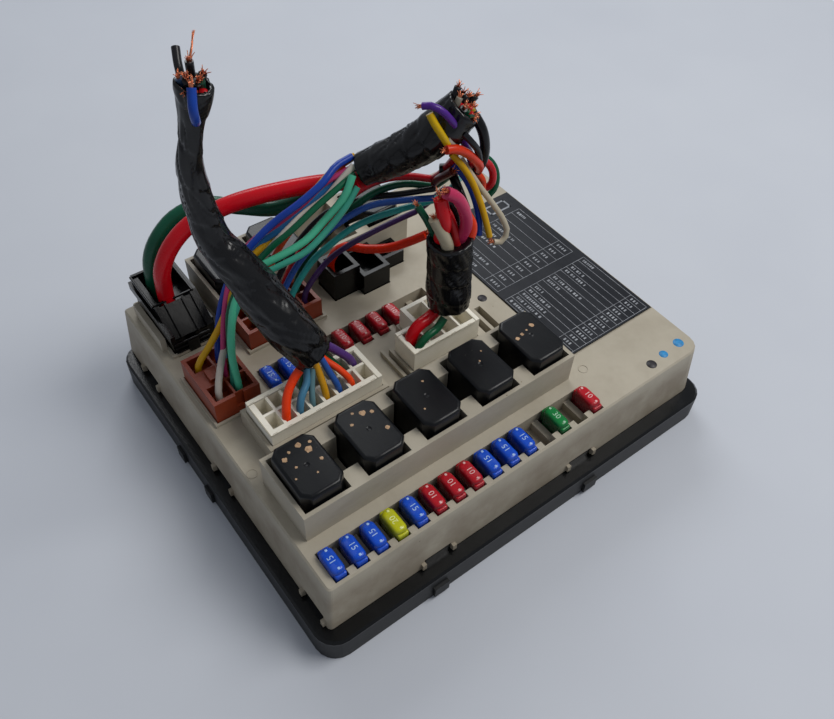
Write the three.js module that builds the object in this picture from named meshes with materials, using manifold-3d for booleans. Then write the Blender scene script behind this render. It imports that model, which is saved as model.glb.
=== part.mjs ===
// A vehicle fuse box panel: an ivory fuse and relay block clipped onto a black lower cover, with blade
// fuses, relays, plugged connectors and the cut-off ends of its wiring harness.
// Millimetres, +Z up. The origin is the bottom centre of the lower cover. X runs along the fuse rows.
import * as THREE from "three";
import { mergeVertices } from "three/addons/utils/BufferGeometryUtils.js";
import Module from "manifold-3d";

const wasm = await Module();
wasm.setup();

// ---------------------------------------------------------------- driving dimensions

const clearance = 0.3; // between pieces that touch in the real thing

const block = { width: 166, depth: 140, height: 22.4, flare: 1.7, wall: 2.2, plate: 2.4, edge: 0.6 };
const cover = { width: 176, depth: 150, height: 11.3, corner: 8, skin: 2, left: 6.2, front: 7.4 };
const plateTop = cover.height + clearance + block.height;

const wellFloor = -7.6; // the floor of every fuse, relay and connector well, below the plate's top
const wellBase = -9.4;

// A mini blade fuse: a plastic head with two blades below it.
const fuse = { length: 10.9, width: 4.2, top: 2.3, bladeLength: 2.8, bladeWidth: 0.8, bladeEnd: -14.6 };
fuse.bladeOffset = fuse.length / 2 - fuse.bladeLength / 2 - 0.1;
const fusePitch = 7.62;

// Every fuse row stands in a channel, with a row of teeth left along its near side.
const fuseRow = { near: 6.6, far: 7, channelDepth: 4, toothDepth: 2.2, pocketGap: 0.4, slotHalf: 0.7 };

// A micro relay: a plastic can with four blades below it.
const relay = { width: 15.4, depth: 21.8, top: 18, corner: 3.2, chamfer: 0.9 };
const relayBlade = { length: 4.8, thickness: 0.8, end: -17.5 };

// Each relay row stands in a raised box. The centres of its sockets are first, first + pitch, and so on.
const relayBox = { rim: 13, wall: 1.4, gapX: 0.5, gapY: 0.7, dividerFloor: 1.2 };
const frontRelays = { firstX: 13.4, pitch: 22.7, y: 30.6, sockets: 5, fitted: [0, 1, 2, 3, 4] };
const backRelays = { firstX: 36.2, pitch: 21.9, y: 124.6, sockets: 4, fitted: [0, 1, 3] };

// Ratings in amperes; null is an empty position.
const frontFuses = {
  firstX: 5.9,
  y: 6.9,
  ratings: [15, 15, 15, 20, 15, 10, 10, 10, 15, 15, 15, null, 30, null, 10],
};
const middleFuses = {
  firstX: 27.7,
  y: 79,
  ratings: [15, 15, null, null, 10, 10, 10, 10, null, null],
};
const ratingColour = { 10: "#8f0f1c", 15: "#1446b4", 20: "#b3ad12", 30: "#0d6a35" };
const ratingName = { 10: "red", 15: "blue", 20: "yellow", 30: "green" };

// Connector bodies as boxes [x0, x1, y0, y1] with the height of their top edge above the plate.
const whiteLarge = { body: [11.7, 54.8, 49.6, 66.2], top: 12, columns: 8, rows: 2, wall: 2, rib: 1 };
const whiteSmall = { front: [69.5, 98.6, 50.8, 62.5], back: [78, 96, 62.5, 71.2], top: 12, wall: 1.6 };
const brownFront = { body: [3.2, 20.2, 72, 96], top: 10, columns: 2, rows: 3 };
const brownRear = { body: [28.5, 59, 94, 109], top: 9, columns: 5, rows: 2 };
const centreBlocks = [
  { body: [67.5, 79, 98, 110], top: 12.5, floor: 6 },
  { body: [78.5, 90.5, 94.5, 110], top: 9.5, floor: 3 },
  { body: [90, 102, 101, 110], top: 6, floor: 0 },
];
const powerPlug = { x0: 5.6, x1: 22, front: 108, step: 119, back: 138, low: 7.5, top: 16 };
const cavityFloor = 4.7;

// A rib beside the power plug, a rib beside the small white plug and an open twin socket to its right.
const powerRib = { x0: 2.6, x1: 4.6, y0: 112, y1: 134, top: 6 };
const plugRib = { x0: 65.6, x1: 66.8, y0: 50, y1: 66, top: 1.8 };
const twinSocket = { x0: 102.5, x1: 112.5, y0: 48.5, y1: 65.5, wall: 1.5, rib: 1.4 };

const label = { x0: 120.3, x1: 164.8, y0: 25, y1: 110, thickness: 0.5, recess: 0.3 };
const board = { inset: 2.8, bottom: -26.6, top: -25 };

// Latches of the lower cover, each in a notch of the block's side wall, by their middles along the side.
const latch = { width: 9.8, thickness: 1.4, top: -19.2, gap: 0.6, tabWidth: 1.5, tabReach: 2.7 };
const frontLatches = [41, 106];
const leftLatches = [7.5, 65.5, 121.5];

// Bosses in the cover's corners hold the board up; lugs on its skirt locate it in the bay it drops into.
const boss = { side: 8 };
const lug = { acrossX: [38, 107], acrossY: [69, 90], reach: 1.2, low: 1, high: 6 };

// ---------------------------------------------------------------- solids

function solidOf(geometry) {
  const bare = geometry.clone();
  bare.deleteAttribute("normal");
  bare.deleteAttribute("uv");
  const merged = mergeVertices(bare, 1e-4);
  const mesh = new wasm.Mesh({
    numProp: 3,
    vertProperties: merged.attributes.position.array,
    triVerts: new Uint32Array(merged.index.array),
  });
  return new wasm.Manifold(mesh);
}

function geometryOf(solid) {
  const mesh = solid.getMesh();
  const indexed = new THREE.BufferGeometry();
  indexed.setAttribute("position", new THREE.BufferAttribute(mesh.vertProperties, 3));
  indexed.setIndex(new THREE.BufferAttribute(mesh.triVerts, 1));
  const flat = indexed.toNonIndexed();
  flat.computeVertexNormals();
  return flat;
}

function box(x0, x1, y0, y1, z0, z1) {
  const geometry = new THREE.BoxGeometry(x1 - x0, y1 - y0, z1 - z0);
  geometry.translate((x0 + x1) / 2, (y0 + y1) / 2, (z0 + z1) / 2);
  return solidOf(geometry);
}

function join(solids) {
  return solids.reduce((whole, piece) => whole.add(piece));
}

function cut(solid, tools) {
  return tools.length ? solid.subtract(join(tools)) : solid;
}

// The corner points of a rounded rectangle, anticlockwise, with a radius for each corner.
function outline(x0, x1, y0, y1, radii, steps = 4) {
  const corners = [
    [x0, y0, 1, 1, Math.PI],
    [x1, y0, -1, 1, 1.5 * Math.PI],
    [x1, y1, -1, -1, 0],
    [x0, y1, 1, -1, 0.5 * Math.PI],
  ];
  return corners.flatMap(([x, y, inX, inY, start], corner) => {
    const radius = radii[corner];
    return Array.from({ length: steps + 1 }, (_, step) => {
      const angle = start + (step / steps) * (Math.PI / 2);
      return [x + inX * radius + radius * Math.cos(angle), y + inY * radius + radius * Math.sin(angle)];
    });
  });
}

// A solid through rings of equal point counts. Seen from the last ring, each ring runs anticlockwise.
function skin(rings) {
  const count = rings[0].length;
  const positions = rings.flat(2);
  const index = [];
  for (let ring = 0; ring < rings.length - 1; ring++) {
    for (let i = 0; i < count; i++) {
      const next = (i + 1) % count;
      const [a, b] = [ring * count + i, ring * count + next];
      index.push(a, b, b + count, a, b + count, a + count);
    }
  }
  const roof = (rings.length - 1) * count;
  for (let i = 1; i < count - 1; i++) {
    index.push(0, i + 1, i);
    index.push(roof, roof + i, roof + i + 1);
  }
  const geometry = new THREE.BufferGeometry();
  geometry.setAttribute("position", new THREE.Float32BufferAttribute(positions, 3));
  geometry.setIndex(index);
  return solidOf(geometry);
}

// A solid through level outlines, each at its own height, from the lowest up.
function loft(levels) {
  return skin(levels.map(({ points, z }) => points.map(([x, y]) => [x, y, z])));
}

function rounded(x0, x1, y0, y1, z0, z1, radius, chamfer = 0, steps = 3) {
  const wide = [radius, radius, radius, radius];
  const levels = [
    { points: outline(x0, x1, y0, y1, wide, steps), z: z0 },
    { points: outline(x0, x1, y0, y1, wide, steps), z: z1 - chamfer },
  ];
  if (chamfer) {
    const tight = wide.map((value) => value - chamfer / 2);
    levels.push({
      points: outline(x0 + chamfer, x1 - chamfer, y0 + chamfer, y1 - chamfer, tight, steps),
      z: z1,
    });
  }
  return loft(levels);
}

// ---------------------------------------------------------------- rows and wells

const fuseCentres = (row) => row.ratings.map((_, i) => [row.firstX + i * fusePitch, row.y]);
const relayCentres = (row) =>
  Array.from({ length: row.sockets }, (_, i) => [row.firstX + i * row.pitch, row.y]);

function fuseRowBlock(row) {
  const last = row.firstX + (row.ratings.length - 1) * fusePitch;
  const side = fusePitch / 2;
  return box(row.firstX - side, last + side, row.y - fuseRow.near, row.y + fuseRow.far, wellBase, -0.2);
}

// Pockets for the heads, slots for the blades, and a channel that leaves teeth along the near side.
function fuseRowCuts(row) {
  const last = row.firstX + (row.ratings.length - 1) * fusePitch;
  const { channelDepth, toothDepth, pocketGap, slotHalf } = fuseRow;
  const pocketHalf = fuse.width / 2 + pocketGap;
  const lengthHalf = fuse.length / 2 + pocketGap;
  const channelFront = row.y - lengthHalf + toothDepth;
  const cuts = [
    box(row.firstX - pocketHalf, last + pocketHalf, channelFront, row.y + lengthHalf, -channelDepth, 1),
  ];
  for (const [x, y] of fuseCentres(row)) {
    cuts.push(box(x - pocketHalf, x + pocketHalf, y - lengthHalf, y + lengthHalf, wellFloor, 1));
    for (const side of [-1, 1]) {
      const middle = y + side * fuse.bladeOffset;
      const half = fuse.bladeLength / 2 + clearance;
      const slotEnd = fuse.bladeEnd - 1;
      cuts.push(box(x - slotHalf, x + slotHalf, middle - half, middle + half, slotEnd, wellFloor + 1));
    }
  }
  return cuts;
}

// Blade centres of a relay and whether each blade's broad side runs along X.
const relayBlades = [
  [0, -8, true],
  [0, 8, true],
  [-4.4, 0, false],
  [4.4, 0, false],
];

function bladeBox(x, y, alongX, z0, z1, grow = 0) {
  const long = relayBlade.length / 2 + grow;
  const thin = relayBlade.thickness / 2 + grow;
  const [halfX, halfY] = alongX ? [long, thin] : [thin, long];
  return box(x - halfX, x + halfX, y - halfY, y + halfY, z0, z1);
}

function relayRowBlock(row) {
  const halfX = relay.width / 2 + relayBox.gapX + relayBox.wall;
  const halfY = relay.depth / 2 + relayBox.gapY + relayBox.wall;
  const last = row.firstX + (row.sockets - 1) * row.pitch;
  return box(row.firstX - halfX, last + halfX, row.y - halfY, row.y + halfY, wellBase, relayBox.rim);
}

// Pockets for the cans, slots for the blades, and a gap in the middle of each divider.
function relayRowCuts(row) {
  const halfX = relay.width / 2 + relayBox.gapX;
  const halfY = relay.depth / 2 + relayBox.gapY;
  const { rim, dividerFloor } = relayBox;
  const cuts = [];
  relayCentres(row).forEach(([x, y], i) => {
    cuts.push(box(x - halfX, x + halfX, y - halfY, y + halfY, wellFloor, rim + 1));
    for (const [bx, by, alongX] of relayBlades) {
      cuts.push(bladeBox(x + bx, y + by, alongX, wellBase - 1, wellFloor + 1, clearance));
    }
    if (i < row.sockets - 1) {
      cuts.push(box(x + halfX - 1, x + row.pitch - halfX + 1, y - 5.5, y + 6.5, dividerFloor, rim + 1));
    }
  });
  return cuts;
}

// The well of a plugged connector: a block through the plate with a rim above it, and the space for the plug.
function wellBlock([x0, x1, y0, y1], rim, wall = 1.5) {
  return box(x0 - wall, x1 + wall, y0 - wall, y1 + wall, wellBase, rim);
}

function wellCut([x0, x1, y0, y1]) {
  const gap = clearance;
  return box(x0 - gap, x1 + gap, y0 - gap, y1 + gap, wellFloor, 20);
}

// ---------------------------------------------------------------- casings

function upperHousing() {
  const { width, depth, height, flare, wall, plate, edge } = block;
  const radii = [1.5, 6, 6, 1.5];
  const inner = radii.map((radius) => Math.max(radius - edge, 0.5));
  const shell = loft([
    { points: outline(-flare, width + flare, -flare, depth + flare, radii), z: -height },
    { points: outline(0, width, 0, depth, radii), z: -edge },
    { points: outline(edge, width - edge, edge, depth - edge, inner), z: 0 },
  ]);
  const hollow = box(wall, width - wall, wall, depth - wall, -height - 1, -plate);
  const powerBox = [powerPlug.x0, powerPlug.x1, powerPlug.front, powerPlug.back];
  const blocks = [
    fuseRowBlock(frontFuses),
    fuseRowBlock(middleFuses),
    relayRowBlock(frontRelays),
    relayRowBlock(backRelays),
    wellBlock(whiteLarge.body, 7, 1.7),
    wellBlock(whiteSmall.front, 3),
    wellBlock(whiteSmall.back, 3, 0.9),
    wellBlock(brownFront.body, 1.2, 1.2),
    wellBlock(brownRear.body, 1.2, 1.2),
    wellBlock(powerBox, 1.2, 1.4),
    box(powerRib.x0, powerRib.x1, powerRib.y0, powerRib.y1, -1, powerRib.top),
    box(plugRib.x0, plugRib.x1, plugRib.y0, plugRib.y1, -1, plugRib.top),
    ...centreBlocks.map(({ body }) => wellBlock(body, -1, 1.2)),
    box(twinSocket.x0, twinSocket.x1, twinSocket.y0, twinSocket.y1, wellBase, -1),
    ...latchTabs(),
  ];
  const cuts = [
    ...fuseRowCuts(frontFuses),
    ...fuseRowCuts(middleFuses),
    ...relayRowCuts(frontRelays),
    ...relayRowCuts(backRelays),
    wellCut(whiteLarge.body),
    wellCut(whiteSmall.front),
    wellCut(whiteSmall.back),
    wellCut(brownFront.body),
    wellCut(brownRear.body),
    wellCut(powerBox),
    ...centreBlocks.map(({ body }) => wellCut(body)),
    ...twinSocketCuts(),
    labelRecess(),
    ...latchNotches(),
  ];
  return cut(join([cut(shell, [hollow]), ...blocks]), cuts);
}

function twinSocketCuts() {
  const { x0, x1, y0, y1, wall, rib } = twinSocket;
  const middle = (x0 + x1) / 2;
  return [
    box(x0 + wall, middle - rib / 2, y0 + wall, y1 - wall, wellFloor, 1),
    box(middle + rib / 2, x1 - wall, y0 + wall, y1 - wall, wellFloor, 1),
  ];
}

function labelRecess() {
  const { x0, x1, y0, y1, recess } = label;
  return box(x0 - clearance, x1 + clearance, y0 - clearance, y1 + clearance, -recess, 1);
}

function latchNotches() {
  const half = latch.width / 2 + latch.gap;
  const top = latch.top + latch.gap;
  const [outside, inside] = [-latch.tabReach - 1, block.wall + 1];
  const low = -block.height - 1;
  return [
    ...frontLatches.map((x) => box(x - half, x + half, outside, inside, low, top)),
    ...leftLatches.map((y) => box(outside, inside, y - half, y + half, low, top)),
  ];
}

// A small hook stands out of the wall on both sides of each notch.
function latchTabs() {
  const half = latch.width / 2 + latch.gap + latch.tabWidth;
  const [outside, inside] = [-latch.tabReach, block.wall / 2];
  const [low, high] = [-block.height + 0.3, latch.top - 0.2];
  return [
    ...frontLatches.map((x) => box(x - half, x + half, outside, inside, low, high)),
    ...leftLatches.map((y) => box(outside, inside, y - half, y + half, low, high)),
  ];
}

// A tray with a ledge round it that carries the block, a skirt down from the ledge's edge, and latches.
function lowerCover() {
  const [x0, y0] = [-cover.left, -cover.front];
  const [x1, y1] = [x0 + cover.width, y0 + cover.depth];
  const ledge = -block.height - clearance;
  const base = ledge - cover.height;
  const { skin, corner } = cover;
  const rim = board.inset - 0.4;
  const tray = { x0: rim, x1: block.width - rim, y0: rim, y1: block.depth - rim };
  const body = rounded(x0, x1, y0, y1, base, ledge, corner, 0.8, 5);
  const inside = box(tray.x0, tray.x1, tray.y0, tray.y1, base + skin, ledge + 1);
  const ringTop = ledge - skin;
  const ringCorner = corner - skin;
  const ringOuter = rounded(x0 + skin, x1 - skin, y0 + skin, y1 - skin, base - 1, ringTop, ringCorner, 0, 4);
  const ringInner = box(tray.x0 - skin, tray.x1 + skin, tray.y0 - skin, tray.y1 + skin, base - 2, ledge);
  const bossTop = board.bottom - clearance;
  const { side } = boss;
  const bossAt = (x, y) => box(x - 1, x + side + 1, y - 1, y + side + 1, base + skin - 1, bossTop);
  const bosses = [tray.x0, tray.x1 - side].flatMap((x) => [tray.y0, tray.y1 - side].map((y) => bossAt(x, y)));
  const half = latch.width / 2;
  const latches = [
    ...frontLatches.map((x) => box(x - half, x + half, -latch.thickness, 0, ledge - 1, latch.top)),
    ...leftLatches.map((y) => box(-latch.thickness, 0, y - half, y + half, ledge - 1, latch.top)),
  ];
  const { reach, low, high } = lug;
  const lugs = [
    ...lug.acrossX.map((x) => box(x - 3, x + 3, y0 - reach, y1 + reach, base + low, base + high)),
    ...lug.acrossY.map((y) => box(x0 - reach, x1 + reach, y - 2.5, y + 2.5, base + low, base + high)),
  ].map((bar) => cut(bar, [box(x0 + 1, x1 - 1, y0 + 1, y1 - 1, base, ledge)]));
  const hollowed = cut(body, [inside, cut(ringOuter, [ringInner])]);
  return join([hollowed, ...bosses, ...latches, ...lugs]);
}

// The board under the plate, with the soldered posts that the blades of the fuses and relays sit on.
function circuitBoard() {
  const { inset, bottom, top } = board;
  const sheet = box(inset, block.width - inset, inset, block.depth - inset, bottom, top);
  const post = (x, y, halfX, halfY, bladeEnd) =>
    box(x - halfX, x + halfX, y - halfY, y + halfY, top - 0.5, bladeEnd - 0.4);
  const posts = [];
  for (const row of [frontFuses, middleFuses]) {
    fuseCentres(row).forEach(([x, y], i) => {
      if (row.ratings[i]) {
        posts.push(post(x, y + fuse.bladeOffset, 0.9, 1.8, fuse.bladeEnd));
        posts.push(post(x, Math.max(y - fuse.bladeOffset, inset + 1.2), 0.9, 1.2, fuse.bladeEnd));
      }
    });
  }
  for (const row of [frontRelays, backRelays]) {
    for (const socket of row.fitted) {
      const [x, y] = relayCentres(row)[socket];
      for (const [bx, by] of relayBlades) posts.push(post(x + bx, y + by, 1.4, 1.4, relayBlade.end));
    }
  }
  return join([sheet, ...posts]);
}

function labelPlate() {
  return box(label.x0, label.x1, label.y0, label.y1, 0, label.thickness);
}

// ---------------------------------------------------------------- fuses, relays and connectors

// Both are made about the middle of their own socket.
function fuseBody() {
  const [halfX, halfY] = [fuse.width / 2, fuse.length / 2];
  const base = wellFloor + clearance;
  const head = rounded(-halfX, halfX, -halfY, halfY, base, fuse.top, 1.3, 0.6, 2);
  const blade = (side) => {
    const middle = side * fuse.bladeOffset;
    const [thin, long] = [fuse.bladeWidth / 2, fuse.bladeLength / 2];
    return box(-thin, thin, middle - long, middle + long, fuse.bladeEnd, base + 1);
  };
  return join([head, blade(-1), blade(1)]);
}

function relayBody() {
  const [halfX, halfY] = [relay.width / 2, relay.depth / 2];
  const base = wellFloor + clearance;
  const can = rounded(-halfX, halfX, -halfY, halfY, base, relay.top, relay.corner, relay.chamfer, 1);
  const blades = relayBlades.map(([x, y, alongX]) => bladeBox(x, y, alongX, relayBlade.end, base + 1));
  return join([can, ...blades]);
}

// A grid of open cavities in a plug, inside walls of the given thickness.
function cavities([x0, x1, y0, y1], columns, rows, top, wall = 1.4, rib = 0.8, floor = cavityFloor) {
  const stepX = (x1 - x0 - 2 * wall + rib) / columns;
  const stepY = (y1 - y0 - 2 * wall + rib) / rows;
  const cuts = [];
  for (let column = 0; column < columns; column++) {
    for (let row = 0; row < rows; row++) {
      const [x, y] = [x0 + wall + column * stepX, y0 + wall + row * stepY];
      cuts.push(box(x, x + stepX - rib, y, y + stepY - rib, floor, top + 1));
    }
  }
  return cuts;
}

function plug({ body: [x0, x1, y0, y1], top }) {
  return box(x0, x1, y0, y1, wellFloor + clearance, top);
}

function whiteLargePlug() {
  const { body, top, columns, rows, wall, rib } = whiteLarge;
  return cut(plug(whiteLarge), cavities(body, columns, rows, top, wall, rib));
}

function whiteSmallPlug() {
  const { front, back, top, wall } = whiteSmall;
  const [x0, x1, y0, y1] = back;
  const whole = join([plug({ body: front, top }), plug({ body: [x0, x1, y0 - 1, y1], top })]);
  return cut(whole, [
    ...cavities(front, 4, 1, top, wall),
    ...cavities([x0, x1, y0 - 0.5, y1], 2, 1, top, wall),
  ]);
}

// The middle of the near column is closed and carries the release tab.
function brownFrontPlug() {
  const { body, top, columns, rows } = brownFront;
  const grid = cavities(body, columns, rows, top).filter((_, i) => i !== 1);
  const [x0, x1, y0, y1] = body;
  const middle = (y0 + y1) / 2;
  const tab = box(x0 + 4, x0 + 8, middle - 2.5, middle + 2.5, top - 1, top + 1.4);
  const keyway = box(x1 - 9, x1 - 6, y0 - 1, y0 + 1, top - 6, top + 1);
  return join([cut(plug(brownFront), [...grid, keyway]), tab]);
}

function brownRearPlug() {
  const { body, top, columns, rows } = brownRear;
  return cut(plug(brownRear), cavities(body, columns, rows, top, 1.4, 0.8, 3.6));
}

function centrePlug() {
  const hollows = centreBlocks.flatMap(({ body, top, floor }) => cavities(body, 1, 1, top, 1.6, 0, floor));
  return cut(join(centreBlocks.map(plug)), hollows);
}

// A low front that slopes up to the tall rear part, where the two heavy cables go in.
function powerPlugBody() {
  const { x0, x1, front, step, back, low, top } = powerPlug;
  const base = wellFloor + clearance;
  const profile = new THREE.Shape();
  profile.moveTo(front, base);
  profile.lineTo(back, base);
  profile.lineTo(back, top);
  profile.lineTo(step, top);
  profile.lineTo(front, low);
  profile.closePath();
  const geometry = new THREE.ExtrudeGeometry(profile, { depth: x1 - x0, bevelEnabled: false });
  geometry.applyMatrix4(new THREE.Matrix4().makeBasis(
    new THREE.Vector3(0, 1, 0),
    new THREE.Vector3(0, 0, 1),
    new THREE.Vector3(1, 0, 0),
  ));
  geometry.translate(x0, 0, 0);
  const throat = box(x0 + 1.8, x1 - 1.8, step - 1, back - 1.8, 10, top + 1);
  const rail = box(x0 - 1.2, x0 + 0.5, front - 3, back + 1, 9, 12.4);
  const key = box(x1 - 0.5, x1 + 1.2, front + 3, front + 8, 1.6, 7);
  return join([cut(solidOf(geometry), [throat]), rail, key]);
}

// ---------------------------------------------------------------- harness

// Taped bundles, heavy cables and single wires, with the points that each one passes through. The bundle
// with radii changes its thickness along the way, one radius for each point.
const harness = {
  tape_trunk_left: {
    radii: [7, 7.8, 7.3, 6.4, 5.4, 4.7, 3.7, 3.2, 4.3],
    colour: "#15161a",
    route: [
      [36.5, 63, 25], [32.5, 67, 34], [28, 73, 45], [24, 79, 56], [20, 84.5, 66],
      [18, 86, 79], [17.5, 85, 93], [18.5, 82.5, 105], [20.5, 79.5, 119],
    ],
  },
  tape_trunk_right: {
    diameter: 13,
    colour: "#15161a",
    route: [
      [77, 92, 62], [82, 88, 65.5], [87, 83.5, 69.5], [91.5, 79, 74.5], [96, 75, 80.5], [101, 71.5, 88],
    ],
  },
  tape_stub: { diameter: 15, colour: "#15161a", route: [[89.5, 58, 21.2], [89.5, 59, 35], [87.5, 58, 52]] },
  cable_red: {
    diameter: 6,
    colour: "#c41422",
    route: [
      [12.5, 122.2, 10.8], [12.5, 121.6, 20], [13, 120, 30], [17.5, 119, 39], [25, 117.5, 46],
      [35, 113.5, 51], [44.5, 110.5, 53], [57.5, 106, 54], [66.5, 101.5, 55], [75.1, 89.8, 59.8],
    ],
  },
  cable_green: {
    diameter: 5.4,
    colour: "#0c5a3c",
    route: [
      [12, 131, 10.8], [12, 130.5, 19], [13, 130, 28], [17, 129, 36], [24.5, 128.5, 42], [34.5, 125.5, 45],
      [44, 118.5, 44], [53.5, 111, 44], [63.5, 105, 48], [73, 103, 51.5], [78.7, 94.4, 60.1],
    ],
  },
  wire_front_yellow: {
    diameter: 2.4,
    colour: "#c79a1b",
    route: [
      [7.8, 91.3, 5], [8.2, 91.3, 10.5], [14, 92.4, 16], [20, 94, 21.5], [26, 96, 29], [30.5, 96.8, 35],
      [36, 97.6, 40.3], [47, 99, 44], [58, 98.5, 51.8], [68, 97.2, 61.2], [77.6, 97, 64.2],
    ],
  },
  wire_front_mint: {
    diameter: 2.6,
    colour: "#5fb99b",
    route: [
      [15.4, 77, 5], [15.6, 77.7, 10.5], [17, 82, 18], [20, 86, 25], [24.5, 90.5, 31], [30, 91.5, 37],
      [35.5, 91.6, 41], [43, 89.4, 44], [51.5, 88, 47], [59, 88.5, 51], [67.2, 87.4, 59], [71.4, 89.1, 64.1],
    ],
  },
  wire_front_blue: {
    diameter: 2.4,
    colour: "#2d4fa8",
    route: [
      [15.5, 91.2, 5], [16, 91.8, 11], [21, 98, 19.5], [25.5, 100, 28], [30, 99, 37], [35, 97, 45],
      [44.5, 96, 52], [54, 93.5, 58], [62.5, 93, 62.5], [69, 95, 65], [75.5, 95.4, 65.8],
    ],
  },
  wire_front_white: {
    diameter: 2.4,
    colour: "#c9c0b4",
    route: [
      [8, 77.3, 5], [8.6, 78, 10.6], [12.5, 83, 14], [19, 90, 17], [26, 96, 21.5], [31, 97.5, 27],
      [35.5, 96.5, 34], [39.5, 94.4, 42], [46, 91.8, 50], [55, 92.5, 54], [62.5, 91.5, 57.5],
      [68.5, 92, 61.3], [74.1, 92.5, 64.5],
    ],
  },
  wire_rear_red: {
    diameter: 2.6,
    colour: "#b3121e",
    route: [
      [49, 104.5, 4], [49.5, 104.5, 12], [57, 105, 24], [63.5, 100, 37],
      [74, 98.5, 46], [85, 96, 51], [93, 89.5, 54], [99, 82, 55],
    ],
  },
  wire_rear_green: {
    diameter: 2.6,
    colour: "#10573d",
    route: [
      [55, 104.5, 4], [55.5, 104.5, 12], [61.5, 104, 23], [68.5, 100.5, 34],
      [76.5, 98, 42], [86, 95.5, 47], [93.5, 90.5, 50], [100.5, 82.5, 51],
    ],
  },
  wire_rear_mint: {
    diameter: 2.4,
    colour: "#5aa9a0",
    route: [
      [49, 98.5, 4], [49.5, 99, 12], [60, 100, 24], [66, 97, 31], [73.5, 95, 36],
      [81, 92.5, 39], [90, 88, 42], [97, 85.5, 43], [101.5, 83.5, 44],
    ],
  },
  wire_rear_purple: {
    diameter: 2.2,
    colour: "#40264f",
    route: [
      [55, 98.5, 4], [55.5, 99, 11], [66, 101, 19], [72.5, 97.5, 26],
      [82.5, 95, 30], [93.5, 92.5, 33], [99, 90.5, 35],
    ],
  },
  wire_centre_orange: {
    diameter: 3.4,
    colour: "#d03a17",
    route: [
      [71.2, 106, 7], [71.2, 106, 13], [73, 105.2, 17.5], [76, 103.5, 20.5],
      [82, 97, 21], [88, 91, 23], [93.5, 86, 27], [97.5, 82, 31],
    ],
  },
  wire_white_orange: {
    diameter: 3,
    colour: "#cf3b17",
    route: [[20.7, 54.4, 5], [20.7, 54.6, 12.5], [23.8, 58.3, 17.2], [27.8, 60.5, 20.2], [30.6, 61.2, 22]],
  },
  wire_white_lightblue: {
    diameter: 2.6,
    colour: "#4d7c9c",
    route: [[25.7, 54.4, 5], [25.8, 54.5, 12.5], [27.6, 56.1, 15.6], [31.6, 58.9, 17.8], [34.2, 62.7, 21.6]],
  },
  wire_white_yellow: {
    diameter: 2.4,
    colour: "#c08a1c",
    route: [[35.8, 54.4, 5], [35.9, 54.8, 12.5], [36.3, 58.5, 18.5], [36.1, 62, 24]],
  },
  wire_white_red: {
    diameter: 2.4,
    colour: "#d2401c",
    route: [[45.8, 54.4, 5], [45.7, 54.8, 12.5], [43.5, 58, 16.5], [40.5, 61.5, 20], [38.3, 64.5, 23.8]],
  },
  wire_white_purple: {
    diameter: 3,
    colour: "#5b3a7d",
    route: [[50.8, 61.3, 5], [50.7, 61.5, 12.5], [46.5, 62.8, 19], [41.6, 64.3, 25.2]],
  },
  wire_small_red: {
    diameter: 4.4,
    colour: "#c4121c",
    route: [[73.8, 58.6, 5], [74, 58.6, 12.4], [77, 58.8, 16], [82, 59.2, 16.8], [86, 59.5, 18.6]],
  },
  wire_small_green: {
    diameter: 3,
    colour: "#0f5a38",
    route: [[73.8, 54, 5], [74, 54, 11.5], [77, 54, 14.6], [82, 54.4, 15.6], [85.5, 55, 18.4]],
  },
  wire_stub_red: { diameter: 4.6, colour: "#c0121d", route: [[84, 58.5, 53], [83, 56, 62], [82.5, 58, 70]] },
  wire_stub_pink: {
    diameter: 4,
    colour: "#b8405f",
    route: [[90.3, 56, 53.8], [87, 51, 62], [84, 51.5, 71], [79.5, 51.5, 79]],
  },
};

function curveThrough(route) {
  return new THREE.CatmullRomCurve3(route.map((point) => new THREE.Vector3(...point)));
}

function valueAlong(values, t) {
  const place = t * (values.length - 1);
  const index = Math.min(Math.floor(place), values.length - 2);
  return THREE.MathUtils.lerp(values[index], values[index + 1], place - index);
}

function taperedBundle({ radii, route }) {
  const curve = curveThrough(route);
  const [steps, sides] = [16, 12];
  const { normals, binormals } = curve.computeFrenetFrames(steps);
  const rings = normals.map((normal, step) => {
    const centre = curve.getPointAt(step / steps);
    const radius = valueAlong(radii, curve.getUtoTmapping(step / steps));
    return Array.from({ length: sides }, (_, side) => {
      const angle = (side / sides) * 2 * Math.PI;
      const point = centre.clone().addScaledVector(normal, radius * Math.cos(angle));
      return point.addScaledVector(binormals[step], radius * Math.sin(angle)).toArray();
    });
  });
  return skin(rings);
}

function cord({ diameter, route }) {
  const curve = curveThrough(route);
  const sides = diameter < 10 ? 8 : 10;
  const section = new THREE.Shape(
    Array.from({ length: sides }, (_, side) => {
      const angle = (side / sides) * 2 * Math.PI;
      return new THREE.Vector2((diameter / 2) * Math.cos(angle), (diameter / 2) * Math.sin(angle));
    }),
  );
  const stepLength = diameter * (diameter < 4 ? 2.4 : 1.3);
  const steps = Math.max(4, Math.ceil(curve.getLength() / stepLength));
  return solidOf(new THREE.ExtrudeGeometry(section, { steps, bevelEnabled: false, extrudePath: curve }));
}

// ---------------------------------------------------------------- materials and assembly

function plastic(color, roughness) {
  return new THREE.MeshStandardMaterial({ color, roughness, metalness: 0 });
}
const ivory = () => plastic("#a8a599", 0.62);
const white = () => plastic("#d6d1c2", 0.5);
const brown = () => plastic("#7d3318", 0.5);
const blackPlastic = () => plastic("#121317", 0.42);

const panel = new THREE.Group();
panel.name = "fuse_box_panel";

// Everything is placed from the near left corner of the block's top plate.
const plateFrame = new THREE.Group();
plateFrame.position.set(cover.left - cover.width / 2, cover.front - cover.depth / 2, plateTop);
panel.add(plateFrame);

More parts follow.
